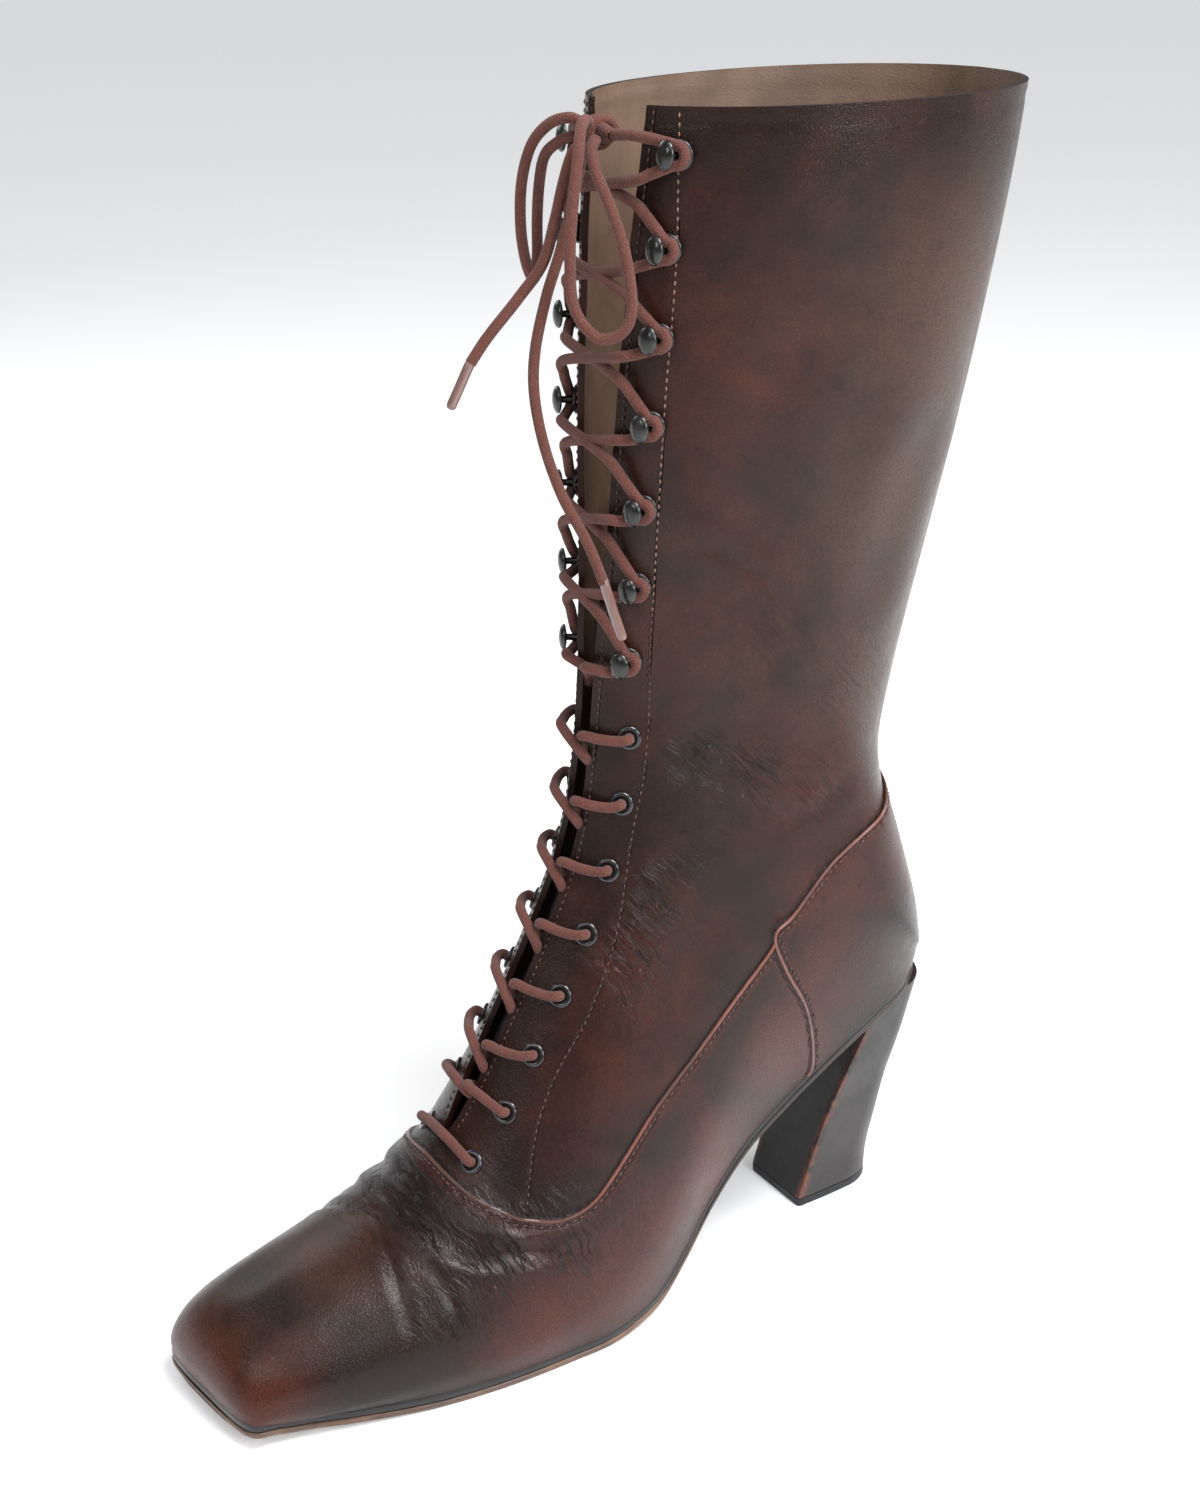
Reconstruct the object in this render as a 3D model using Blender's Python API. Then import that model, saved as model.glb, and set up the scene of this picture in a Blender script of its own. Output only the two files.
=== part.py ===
"""A woman's left lace-up ankle-to-calf boot with a square toe and a high block heel.

Metres, +Z up. The origin is the centre of the heel's ground face, +X runs to the toe
and +Y to the outer side of the foot.
"""

import math

import bmesh
import bpy
import numpy as np
from mathutils import Vector

# Driving sizes
LENGTH = 0.254
BALL_WIDTH = 0.083
HEEL_HEIGHT = 0.082
THROAT_HEIGHT = 0.065
SHAFT_HEIGHT = 0.270
LEG_WIDTH = 0.103
WALL = 0.0018
GAP = 0.0003
TOE_SLANT = 0.13

# Sole and heel
OUTSOLE = 0.0024
WELT = 0.0014
SOLE_EDGE = 0.0008
WELT_EDGE = 0.0003
INSOLE = 0.0022
INSOLE_INSET = 0.0016
TOP_LIFT = 0.0028
HEEL_SEAT_WIDTH = 0.049

# Overlays, as steps in the wall
VAMP_STEP = 0.0008
COUNTER_STEP = 0.0013

# Lacing
EYELETS = 8
HOOKS = 7
FIRST_EYELET = 0.42
EYELET_INSET = 0.0135
HOOK_INSET = 0.0112
EYELET_BORE = 0.0019
EYELET_FLANGE = 0.0036
EYELET_LIP = 0.0009
EYELET_METAL = 0.0005
EYELET_BEHIND = 0.0006
HOOK_BASE = 0.0037
HOOK_BASE_TOP = 0.0008
HOOK_NECK = 0.0014
HOOK_CAP = 0.0041
HOOK_CAP_SLOPE = 0.0004
HOOK_CAP_DOME = 0.0014
HOOK_CAP_INNER = 0.82
HOOK_HEIGHT = 0.0072
EYELET_SPACING = 0.01935
HOOK_SPACING = 0.0219
LACE = 0.003
TONGUE = 0.0016
TONGUE_DEPTH = 0.0062
TONGUE_HALF_WIDTH = 0.021
AGLET = 0.0028
KNOT_ROW = 34.2
KNOT_HALF = 0.0070
KNOT_RADIUS = 0.0050
KNOT_PROUD = 0.0043

# How the lace runs: heights over the leather, how far past an edge it bends, how far the
# lowest crossing falls and how tightly the lace turns round a hook
UNDER = -(WALL + 0.0008 + LACE / 2)
ON_TOP = 0.0029
BAR_TOP = 0.0031
PAST_EDGE = 0.0012
TUCKED = 0.0045
LANE = 0.00025
THROAT_FALL = 0.3
HOOK_BEND = 0.0038
HOOK_LANE = 0.0027

SOLE_STACK = OUTSOLE + WELT + 2 * GAP
COLLAR_HEIGHT = HEEL_HEIGHT + SHAFT_HEIGHT

# One row for each section of the last, from the toe to the collar. low and high are
# the section's ends: along is a share of LENGTH, up is a share of the heel height (or
# throat height), and past 1 a share of the shaft above it. outer and inner are the
# half widths and foot_out and foot_in those of the open underside, all shares of
# BALL_WIDTH. belly is where the section is widest, full and peak shape its side and
# its ridge, and slit is half the throat's opening as a share of BALL_WIDTH.
SECTIONS = (
    "low_along low_up high_along high_up outer inner foot_out foot_in belly full peak slit",
    (0.833, 0.052, 0.856, 0.140, 0.280, 0.280, 0.266, 0.271, 0.02, 4.2, 3.4, 0),
    (0.811, 0.042, 0.858, 0.225, 0.303, 0.308, 0.290, 0.300, 0.10, 3.6, 3, 0),
    (0.780, 0.032, 0.850, 0.318, 0.332, 0.337, 0.309, 0.333, 0.14, 3.1, 2.6, 0),
    (0.748, 0.023, 0.833, 0.400, 0.360, 0.364, 0.337, 0.360, 0.17, 2.7, 2.3, 0),
    (0.713, 0.016, 0.806, 0.472, 0.386, 0.388, 0.364, 0.384, 0.19, 2.4, 2.1, 0),
    (0.673, 0.008, 0.763, 0.540, 0.412, 0.412, 0.391, 0.408, 0.21, 2.2, 2, 0),
    (0.634, 0.003, 0.713, 0.602, 0.438, 0.436, 0.416, 0.430, 0.23, 2.1, 1.95, 0),
    (0.591, 0.000, 0.657, 0.672, 0.462, 0.458, 0.436, 0.448, 0.24, 2.1, 1.9, 0),
    (0.547, 0.000, 0.610, 0.765, 0.480, 0.474, 0.451, 0.456, 0.25, 2.1, 1.85, 0),
    (0.504, 0.000, 0.577, 0.870, 0.494, 0.478, 0.458, 0.452, 0.25, 2.1, 1.75, 0),
    (0.461, 0.000, 0.551, 0.980, 0.500, 0.474, 0.459, 0.434, 0.26, 2.1, 1.65, 0),
    (0.417, 0.005, 0.525, 1.022, 0.500, 0.464, 0.462, 0.402, 0.27, 2.1, 1.6, 0.030),
    (0.374, 0.019, 0.497, 1.066, 0.490, 0.446, 0.440, 0.362, 0.28, 2.1, 1.55, 0.045),
    (0.331, 0.058, 0.467, 1.115, 0.476, 0.428, 0.405, 0.315, 0.30, 2.1, 1.5, 0.050),
    (0.287, 0.175, 0.432, 1.170, 0.458, 0.412, 0.366, 0.272, 0.32, 2.1, 1.5, 0.052),
    (0.240, 0.338, 0.402, 1.220, 0.440, 0.400, 0.330, 0.240, 0.34, 2.1, 1.5, 0.052),
    (0.185, 0.506, 0.378, 1.267, 0.426, 0.392, 0.308, 0.226, 0.36, 2.1, 1.5, 0.052),
    (0.126, 0.643, 0.362, 1.310, 0.416, 0.388, 0.306, 0.236, 0.37, 2.1, 1.5, 0.051),
    (0.063, 0.779, 0.353, 1.348, 0.408, 0.386, 0.314, 0.262, 0.37, 2.1, 1.5, 0.050),
    (0.000, 0.890, 0.347, 1.387, 0.402, 0.386, 0.312, 0.290, 0.36, 2.1, 1.5, 0.049),
    (-0.055, 0.961, 0.343, 1.425, 0.400, 0.388, 0.282, 0.275, 0.34, 2.1, 1.5, 0.050),
    (-0.095, 0.992, 0.341, 1.456, 0.400, 0.391, 0.196, 0.193, 0.32, 2.1, 1.5, 0.052),
    (-0.113, 1.000, 0.339, 1.481, 0.400, 0.393, 0.100, 0.099, 0.30, 2.1, 1.5, 0.054),
    (-0.119, 1.001, 0.338, 1.502, 0.400, 0.394, 0, 0, 0.30, 2.1, 1.55, 0.058),
    (-0.112, 1.048, 0.335, 1.533, 0.400, 0.395, 0, 0, 0.31, 2.1, 1.6, 0.065),
    (-0.098, 1.098, 0.332, 1.561, 0.400, 0.396, 0, 0, 0.33, 2.1, 1.65, 0.074),
    (-0.080, 1.154, 0.329, 1.592, 0.402, 0.399, 0, 0, 0.36, 2.1, 1.7, 0.084),
    (-0.060, 1.215, 0.326, 1.631, 0.408, 0.405, 0, 0, 0.40, 2.1, 1.75, 0.095),
    (-0.052, 1.276, 0.323, 1.672, 0.420, 0.417, 0, 0, 0.43, 2.1, 1.8, 0.105),
    (-0.068, 1.358, 0.319, 1.718, 0.444, 0.440, 0, 0, 0.45, 2.1, 1.85, 0.115),
    (-0.094, 1.460, 0.314, 1.770, 0.478, 0.473, 0, 0, 0.46, 2.1, 1.9, 0.125),
    (-0.125, 1.578, 0.308, 1.826, 0.518, 0.512, 0, 0, 0.46, 2.1, 1.9, 0.135),
    (-0.152, 1.689, 0.302, 1.885, 0.556, 0.550, 0, 0, 0.46, 2.1, 1.95, 0.145),
    (-0.177, 1.807, 0.295, 1.930, 0.590, 0.584, 0, 0, 0.46, 2.1, 2, 0.155),
    (-0.198, 1.915, 0.290, 1.968, 0.612, 0.606, 0, 0, 0.46, 2.1, 2, 0.163),
    (-0.212, 2.000, 0.286, 2.000, 0.620, 0.614, 0, 0, 0.46, 2.1, 2, 0.170),
)

# The heel block from the ground to the seat: front and back are shares of LENGTH
# along X, and half is a share of the seat's width.
HEEL_LEVELS = (
    "up front back half",
    (0.00, 0.0660, -0.0660, 0.270),
    (0.12, 0.0560, -0.0690, 0.272),
    (0.30, 0.0420, -0.0810, 0.285),
    (0.50, 0.0260, -0.0930, 0.318),
    (0.70, 0.0080, -0.1070, 0.375),
    (0.86, -0.0080, -0.1130, 0.425),
    (1.00, -0.0160, -0.1180, 0.470),
)

# Side-view outlines of the overlays: along is a share of LENGTH, up a share of
# HEEL_HEIGHT.
VAMP_LINE = (
    "along up",
    (0.536, 0.900),
    (0.553, 0.790),
    (0.564, 0.735),
    (0.554, 0.670),
    (0.528, 0.634),
    (0.495, 0.611),
    (0.460, 0.608),
    (0.425, 0.648),
    (0.388, 0.735),
    (0.337, 0.905),
    (0.285, 1.050),
    (0.226, 1.220),
    (0.170, 1.410),
    (0.100, 1.450),
    (0.100, 0.730),
    (0.126, 0.684),
    (0.185, 0.556),
    (0.240, 0.398),
    (0.287, 0.245),
    (0.331, 0.135),
    (0.374, 0.098),
    (0.417, 0.082),
    (0.591, 0.080),
    (0.673, 0.088),
    (0.780, 0.112),
    (0.835, 0.128),
    (1.100, 0.135),
    (1.100, 0.905),
)
COUNTER_LINE = (
    "along up",
    (-0.300, 1.960),
    (-0.030, 1.890),
    (0.030, 1.805),
    (0.095, 1.680),
    (0.148, 1.525),
    (0.170, 1.430),
    (0.150, 1.262),
    (0.122, 1.104),
    (0.105, 0.963),
    (0.093, 0.830),
    (0.091, 0.745),
    (0.063, 0.815),
    (0.000, 0.918),
    (-0.067, 0.985),
    (-0.118, 1.012),
    (-0.160, 1.024),
    (-0.300, 1.024),
)

COLUMNS = 11
TUBE_SIDES = 5
EYELET_SIDES = 8
HOOK_SIDES = 6

# Free ends and bow, as points chosen by hand in millimetres
LACE_END_LONG = (
    (80.0, 1.8, 341.6), (82.2, 2.2, 339.6), (84.2, 2.2, 333), (86.8, 2, 324), (90, 2, 315), (94.8, 3, 305),
    (99.2, 4, 292), (100.5, 5, 280.7), (99.2, 7, 267.3), (95.4, 9, 253.5),
    (90, 12.5, 240.2), (87.1, 16, 228.8),
)
LACE_END_SHORT = (
    (80.0, -1.8, 341.8), (82.4, -2.4, 339.8), (85.2, -2.8, 332.5), (88.4, -2.4, 323), (92.8, -1.6, 313),
    (100.2, -2, 304.8), (108.7, -4, 295.4), (113.6, -5.6, 288.5),
)
BOW_LOOP_LONG = (
    (79.8, 2.3, 347.4), (82.4, 4, 348.4), (85.8, 7.6, 346.8), (88.8, 11, 341), (91.5, 12.5, 330),
    (93.2, 13, 317),
    (93.3, 14.5, 304), (89.2, 18.5, 296.5), (84, 22.3, 297.5), (81.6, 23.5, 304),
    (82.5, 22.3, 317), (84, 18.5, 328), (84.8, 12.5, 337),
    (83.4, 8.6, 341.6), (79.9, 5.2, 343.9),
)
BOW_LOOP_SHORT = (
    (79.8, -2.3, 347.4), (82.4, -4.2, 348.4), (85.4, -9, 346.6), (88, -14, 341), (89, -18, 331),
    (88, -21, 319),
    (85, -24, 309), (81.2, -26.8, 304), (79.6, -27.4, 310), (80.6, -25, 320),
    (82.5, -20, 330), (84.4, -13.5, 338),
    (83.2, -8.8, 341.8), (79.9, -5.2, 343.9),
)
AGLET_LONG = ((86.9, 16.3, 228.1), (85.6, 18.1, 221), (84.1, 20, 213.8))
AGLET_SHORT = ((113.9, -5.7, 287.9), (116.3, -6.8, 282.5), (118.7, -7.9, 277.2))

COLOURS = {
    "upper": (0.045, 0.022, 0.018), "tongue": (0.035, 0.028, 0.025),
    "insole": (0.20, 0.13, 0.08), "welt": (0.008, 0.008, 0.009),
    "outsole": (0.10, 0.055, 0.035), "heel_block": (0.018, 0.015, 0.015),
    "top_lift": (0.006, 0.006, 0.006), "eyelet": (0.010, 0.010, 0.012),
    "hook": (0.020, 0.020, 0.022), "lace": (0.25, 0.075, 0.05), "aglet": (0.55, 0.38, 0.33),
}


def table(rows):
    names = rows[0].split()
    return {name: np.array([row[i] for row in rows[1:]], float) for i, name in enumerate(names)}


def smooth(values, at):
    """Catmull-Rom interpolation of a table column at the row number at."""
    last = len(values) - 1
    at = min(max(at, 0.0), float(last))
    i = min(int(at), last - 1)
    t = at - i
    p1, p2 = values[i], values[i + 1]
    p0 = values[i - 1] if i > 0 else 2 * p1 - p2
    p3 = values[i + 2] if i + 2 <= last else 2 * p2 - p1
    return 0.5 * (2 * p1 + (p2 - p0) * t + (2 * p0 - 5 * p1 + 4 * p2 - p3) * t * t
                  + (3 * p1 - p0 - 3 * p2 + p3) * t ** 3)


LAST = table(SECTIONS)
ROWS = len(LAST["belly"])
THROAT_ROW = 10
HEEL_ROW = 23


def low_height(share):
    if share <= 1:
        return SOLE_STACK + share * (HEEL_HEIGHT - SOLE_STACK)
    return HEEL_HEIGHT + (share - 1) * SHAFT_HEIGHT


def high_height(share):
    if share <= 1:
        return share * THROAT_HEIGHT
    return THROAT_HEIGHT + (share - 1) * (COLLAR_HEIGHT - THROAT_HEIGHT)


def section(at):
    """The named values of the last at row number at."""
    return {name: smooth(column, at) for name, column in LAST.items()}


def leg_share(at):
    """How far a section takes its width from the leg instead of the ball of the foot."""
    return min(max((at - HEEL_ROW) / (ROWS - 1 - HEEL_ROW), 0), 1)


def half_outline(values, at, side):
    """Points of one half section from the underside or back seam to the ridge."""
    width_unit = BALL_WIDTH + leg_share(at) * (LEG_WIDTH / 1.238 - BALL_WIDTH)
    wide = width_unit * values["outer" if side > 0 else "inner"]
    foot = max(BALL_WIDTH * values["foot_out" if side > 0 else "foot_in"], 0)
    if at >= HEEL_ROW:
        foot = 0
    open_share = min(foot / (0.26 * BALL_WIDTH), 1)
    belly = values["belly"]
    points = []
    for k in range(41):
        s = k / 40
        closed = (1 - (1 - s) ** values["full"]) ** (1 / 1.9)
        rise = closed + (math.sin(s * math.pi / 2) - closed) * open_share
        points.append((belly * s, foot + (wide - foot) * rise))
    for k in range(1, 81):
        s = math.sin(k / 80 * math.pi / 2)
        width = wide * max(1 - s ** values["full"], 0) ** (1 / values["peak"])
        points.append((belly + (1 - belly) * s, width))
    return points


def slant(x, y):
    """The toe's edge runs back towards the outer side."""
    start, end = 0.62 * LENGTH, 0.83 * LENGTH
    share = min(max((x - start) / (end - start), 0), 1)
    return -TOE_SLANT * y * share * share * (3 - 2 * share)


def place(values, e, y):
    low = (values["low_along"] * LENGTH, low_height(values["low_up"]))
    high = (values["high_along"] * LENGTH, high_height(values["high_up"]))
    x = low[0] + (high[0] - low[0]) * e
    z = low[1] + (high[1] - low[1]) * e
    return np.array((x + slant(x, y), y, z))


def half_curve(at, side, count):
    """count points of a half section, evenly spaced, from the underside to the facing edge."""
    values = section(at)
    slit = max(BALL_WIDTH * values["slit"], 0) if at > THROAT_ROW else 0
    points = np.array([place(values, e, side * y) for e, y in half_outline(values, at, side)])
    steps = np.linalg.norm(np.diff(points, axis=0), axis=1)
    run = np.concatenate([[0], np.cumsum(steps)])
    total = run[-1]
    if slit > 0:
        beyond = np.nonzero(side * points[:, 1] > slit)[0][-1]
        a, b = side * points[beyond, 1], side * points[beyond + 1, 1]
        total = run[beyond] + (run[beyond + 1] - run[beyond]) * (a - slit) / (a - b)
    wanted = np.linspace(0, total, count)
    return np.stack([np.interp(wanted, run, points[:, k]) for k in range(3)], 1)


def new_material(slot):
    material = bpy.data.materials.new(slot)
    material.use_nodes = True
    shader = material.node_tree.nodes["Principled BSDF"]
    shader.inputs["Base Color"].default_value = (*COLOURS[slot], 1)
    shader.inputs["Roughness"].default_value = 0.75 if slot in ("lace", "insole") else 0.38
    shader.inputs["Metallic"].default_value = 0.8 if slot in ("eyelet", "hook") else 0.0
    return material


MATERIALS = {}


def add_object(name, bm, slot, angle=40):
    mesh = bpy.data.meshes.new(name)
    bm.to_mesh(mesh)
    bm.free()
    obj = bpy.data.objects.new(name, mesh)
    bpy.context.scene.collection.objects.link(obj)
    if slot not in MATERIALS:
        MATERIALS[slot] = new_material(slot)
    mesh.materials.append(MATERIALS[slot])
    mesh.shade_smooth()
    mesh.set_sharp_from_angle(angle=math.radians(angle))
    return obj


def clean(bm):
    bmesh.ops.remove_doubles(bm, verts=bm.verts, dist=1e-6)
    bmesh.ops.recalc_face_normals(bm, faces=bm.faces)
    if bm.calc_volume(signed=True) < 0:
        bmesh.ops.reverse_faces(bm, faces=bm.faces)
    return bm


def last_surface(first, last, columns=COLUMNS):
    """An open mesh of the last with the throat's slit, underside and collar left open."""
    bm = bmesh.new()
    previous = None
    for at in range(first, last + 1):
        left = [bm.verts.new(p) for p in half_curve(at, 1, columns + 1)]
        right = [bm.verts.new(p) for p in half_curve(at, -1, columns + 1)]
        if previous:
            for old, new in ((previous[0], left), (previous[1], right)):
                for k in range(columns):
                    bm.faces.new((old[k], old[k + 1], new[k + 1], new[k]))
        previous = (left, right)
    bmesh.ops.remove_doubles(bm, verts=bm.verts, dist=2e-5)
    bmesh.ops.recalc_face_normals(bm, faces=bm.faces)
    bm.faces.ensure_lookup_table()
    face = max(bm.faces, key=lambda f: f.calc_center_median().x)
    if face.normal.x < 0:
        bmesh.ops.reverse_faces(bm, faces=bm.faces)
    bm.normal_update()
    return bm


def shell_from(bm, out, inwards):
    """A closed shell between out and inwards of an open surface, measured along its normals."""
    bm.normal_update()
    verts = list(bm.verts)
    normals = {v: v.normal.copy() for v in verts}
    boundary = [e for e in bm.edges if e.is_boundary]
    faces = list(bm.faces)
    inner = {v: bm.verts.new(v.co - normals[v] * inwards) for v in verts}
    for v in verts:
        v.co = v.co + normals[v] * out
    for face in faces:
        bm.faces.new([inner[v] for v in reversed(face.verts)])
    for edge in boundary:
        a, b = edge.verts
        bm.faces.new((a, b, inner[b], inner[a]))
    return clean(bm)


def prism(name, outline, low_y, high_y):
    """A cutter: the side-view outline drawn across the boot."""
    bm = bmesh.new()
    near = [bm.verts.new((x, low_y, z)) for x, z in outline]
    far = [bm.verts.new((x, high_y, z)) for x, z in outline]
    bm.faces.new(near)
    bm.faces.new(list(reversed(far)))
    count = len(outline)
    for k in range(count):
        j = (k + 1) % count
        bm.faces.new((near[k], far[k], far[j], near[j]))
    clean(bm)
    obj = add_object(name, bm, "welt")
    obj.hide_render = True
    obj.display_type = "WIRE"
    return obj


def boolean(obj, other, operation):
    """Applies an exact Boolean to obj and hides the helper."""
    modifier = obj.modifiers.new(operation.lower(), "BOOLEAN")
    modifier.operation = operation
    modifier.object = other
    modifier.solver = "EXACT"
    graph = bpy.context.evaluated_depsgraph_get()
    mesh = bpy.data.meshes.new_from_object(obj.evaluated_get(graph))
    obj.modifiers.clear()
    obj.data = mesh
    mesh.shade_smooth()
    mesh.set_sharp_from_angle(angle=math.radians(40))
    other.hide_render = True
    other.display_type = "WIRE"


def curve_line(rows):
    line = table(rows)
    return [(x * LENGTH, z * HEEL_HEIGHT) for x, z in zip(line["along"], line["up"])]


def surface_frame(at, side, inset):
    """A point of the faceted outer surface at arc length inset from the facing edge, and its normal."""
    def point(row, back):
        below = min(int(row), ROWS - 2)
        pair = [half_curve(r, side, COLUMNS + 1)[::-1] for r in (below, below + 1)]
        curve = pair[0] + (pair[1] - pair[0]) * (row - below)
        run = np.concatenate([[0], np.cumsum(np.linalg.norm(np.diff(curve, axis=0), axis=1))])
        return np.array([np.interp(back, run, curve[:, k]) for k in range(3)])
    here = point(at, inset)
    across = point(at, inset + 0.004) - point(at, max(inset - 0.004, 0))
    up = point(min(at + 0.3, ROWS - 1), inset) - point(max(at - 0.3, 0), inset)
    normal = np.cross(across, up) * side
    normal = normal / np.linalg.norm(normal)
    if normal[0] < 0:
        normal = -normal
    up = up / np.linalg.norm(up)
    across = across - up * (across @ up)
    return here, normal, across / np.linalg.norm(across), up


def ridge_rows(first, spacing, count):
    """Row numbers spaced evenly along the outer facing edge, from row first up."""
    fine = np.linspace(THROAT_ROW + 0.1, ROWS - 1, 200)
    edge = np.array([half_curve(at, 1, 2)[-1] for at in fine])
    run = np.concatenate([[0], np.cumsum(np.linalg.norm(np.diff(edge, axis=0), axis=1))])
    start = np.interp(first, fine, run)
    return [float(np.interp(start + k * spacing, run, fine)) for k in range(count)]


EYELET_ROWS = ridge_rows(THROAT_ROW + FIRST_EYELET, EYELET_SPACING, EYELETS)
HOOK_ROWS = ridge_rows(EYELET_ROWS[-1], HOOK_SPACING, HOOKS + 1)[1:]


def turned(name, slot, profile, centre, normal, segments):
    """A ring or knob: the closed profile of (radius, height) turned about normal."""
    bm = bmesh.new()
    rotation = Vector((0, 0, 1)).rotation_difference(Vector(normal)).to_matrix()
    closed = profile[0][0] > 0
    rings = []
    for radius, height in profile:
        ring = []
        for k in range(segments if radius > 0 else 1):
            a = 2 * math.pi * k / segments
            local = Vector((radius * math.cos(a), radius * math.sin(a), height))
            ring.append(bm.verts.new(Vector(centre) + rotation @ local))
        rings.append(ring)
    pairs = list(zip(rings, rings[1:]))
    if closed:
        pairs.append((rings[-1], rings[0]))
    for a, b in pairs:
        for k in range(segments):
            j = (k + 1) % segments
            corners = [a[k % len(a)], a[j % len(a)], b[j % len(b)], b[k % len(b)]]
            unique = list(dict.fromkeys(corners))
            bm.faces.new(unique)
    return add_object(name, clean(bm), slot)


def tube_mesh(points, radius, sides=TUBE_SIDES):
    """A closed tube along points, in metres."""
    bm = bmesh.new()
    points = [Vector(p) for p in points]
    tangents = []
    for k in range(len(points)):
        a = points[max(k - 1, 0)]
        b = points[min(k + 1, len(points) - 1)]
        tangents.append((b - a).normalized())
    across = tangents[0].orthogonal().normalized()
    rings = []
    for k, point in enumerate(points):
        if k:
            across = tangents[k - 1].rotation_difference(tangents[k]) @ across
        other = tangents[k].cross(across)
        ring = []
        for s in range(sides):
            a = 2 * math.pi * s / sides
            ring.append(bm.verts.new(point + radius * (math.cos(a) * across + math.sin(a) * other)))
        rings.append(ring)
    for a, b in zip(rings, rings[1:]):
        for s in range(sides):
            t = (s + 1) % sides
            bm.faces.new((a[s], a[t], b[t], b[s]))
    bm.faces.new(list(reversed(rings[0])))
    bm.faces.new(rings[-1])
    return clean(bm)


def through(points, count):
    """count points on a smooth curve through the given ones."""
    points = np.array(points, float)
    steps = np.linalg.norm(np.diff(points, axis=0), axis=1)
    run = np.concatenate([[0], np.cumsum(steps)])
    rows = np.interp(np.linspace(0, run[-1], count), run, np.arange(len(points)))
    return [np.array([smooth(points[:, k], at) for k in range(3)]) for at in rows]


def cord(name, slot, points, count, diameter=LACE):
    """A free cord as a bevelled curve through points in millimetres."""
    data = bpy.data.curves.new(name, "CURVE")
    data.dimensions = "3D"
    data.bevel_depth = diameter / 2
    data.bevel_resolution = 2
    data.use_fill_caps = True
    spline = data.splines.new("POLY")
    route = through(np.array(points) / 1000, count)
    spline.points.add(len(route) - 1)
    for point, place_at in zip(spline.points, route):
        point.co = (*place_at, 1)
    obj = bpy.data.objects.new(name, data)
    bpy.context.scene.collection.objects.link(obj)
    if slot not in MATERIALS:
        MATERIALS[slot] = new_material(slot)
    data.materials.append(MATERIALS[slot])
    return obj


def sole_outline(offset):
    """Cross lines of the underside from the toe to the heel: outer end, inner end."""
    loop_out = []
    loop_in = []
    toe_outer = half_curve(0, 1, 9)[::-1]
    toe_inner = half_curve(0, -1, 9)[::-1]
    for a, b in zip(toe_outer[1:], toe_inner[1:]):
        loop_out.append(a)
        loop_in.append(b)
    for row in range(1, HEEL_ROW):
        loop_out.append(half_curve(row, 1, 2)[0])
        loop_in.append(half_curve(row, -1, 2)[0])
    loop = [toe_outer[0]] + loop_out + [half_curve(HEEL_ROW, 1, 2)[0]] + loop_in[::-1]
    loop = np.array(loop)
    around = np.roll(loop, -1, axis=0) - np.roll(loop, 1, axis=0)
    normals = np.stack([around[:, 1], -around[:, 0]], 1)
    normals /= np.linalg.norm(normals, axis=1)[:, None]
    centre = loop[:, :2].mean(axis=0)
    if ((loop[:, :2] - centre) * normals).sum() < 0:
        normals = -normals
    moved = loop.copy()
    moved[:, :2] += normals * offset
    count = len(loop_out)
    outer = moved[1:count + 1]
    inner = moved[count + 2:][::-1]
    return moved[0], outer, inner, moved[count + 1]


def underside(x):
    """Height of the open underside of the upper at x."""
    rows = np.arange(HEEL_ROW)
    along = np.array([LAST["low_along"][r] * LENGTH for r in rows])
    up = np.array([low_height(min(LAST["low_up"][r], 1)) for r in rows])
    return float(np.interp(x, along[::-1], up[::-1]))


def plate(name, slot, offset, top_drop, thickness):
    """A sole layer: the underside's outline grown by offset, top_drop below it."""
    tip, outer, inner, back = sole_outline(offset)
    bm = bmesh.new()

    def pair(p):
        z = p[2] - top_drop
        return (bm.verts.new((p[0], p[1], z)), bm.verts.new((p[0], p[1], z - thickness)))

    first, last = pair(tip), pair(back)
    left = [pair(p) for p in outer]
    right = [pair(p) for p in inner]
    for level in (0, 1):
        bm.faces.new((first[level], left[0][level], right[0][level]))
        bm.faces.new((last[level], left[-1][level], right[-1][level]))
        for k in range(len(left) - 1):
            bm.faces.new((left[k][level], left[k + 1][level], right[k + 1][level], right[k][level]))
    rim = [first] + left + [last] + right[::-1]
    for k in range(len(rim)):
        a, b = rim[k], rim[(k + 1) % len(rim)]
        bm.faces.new((a[0], b[0], b[1], a[1]))
    return add_object(name, clean(bm), slot)


def heel_outline(front, back, half, steps=6):
    """The heel in plan: a straight breast, nearly straight sides and a round back."""
    turn = back + 0.42 * (front - back)
    points = [(front, half), ((front + turn) / 2, half * 0.99)]
    for k in range(steps + 1):
        a = math.pi / 2 * k / steps
        points.append((turn - (turn - back) * math.sin(a), half * 0.96 * math.cos(a) ** 0.85))
    return points


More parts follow.
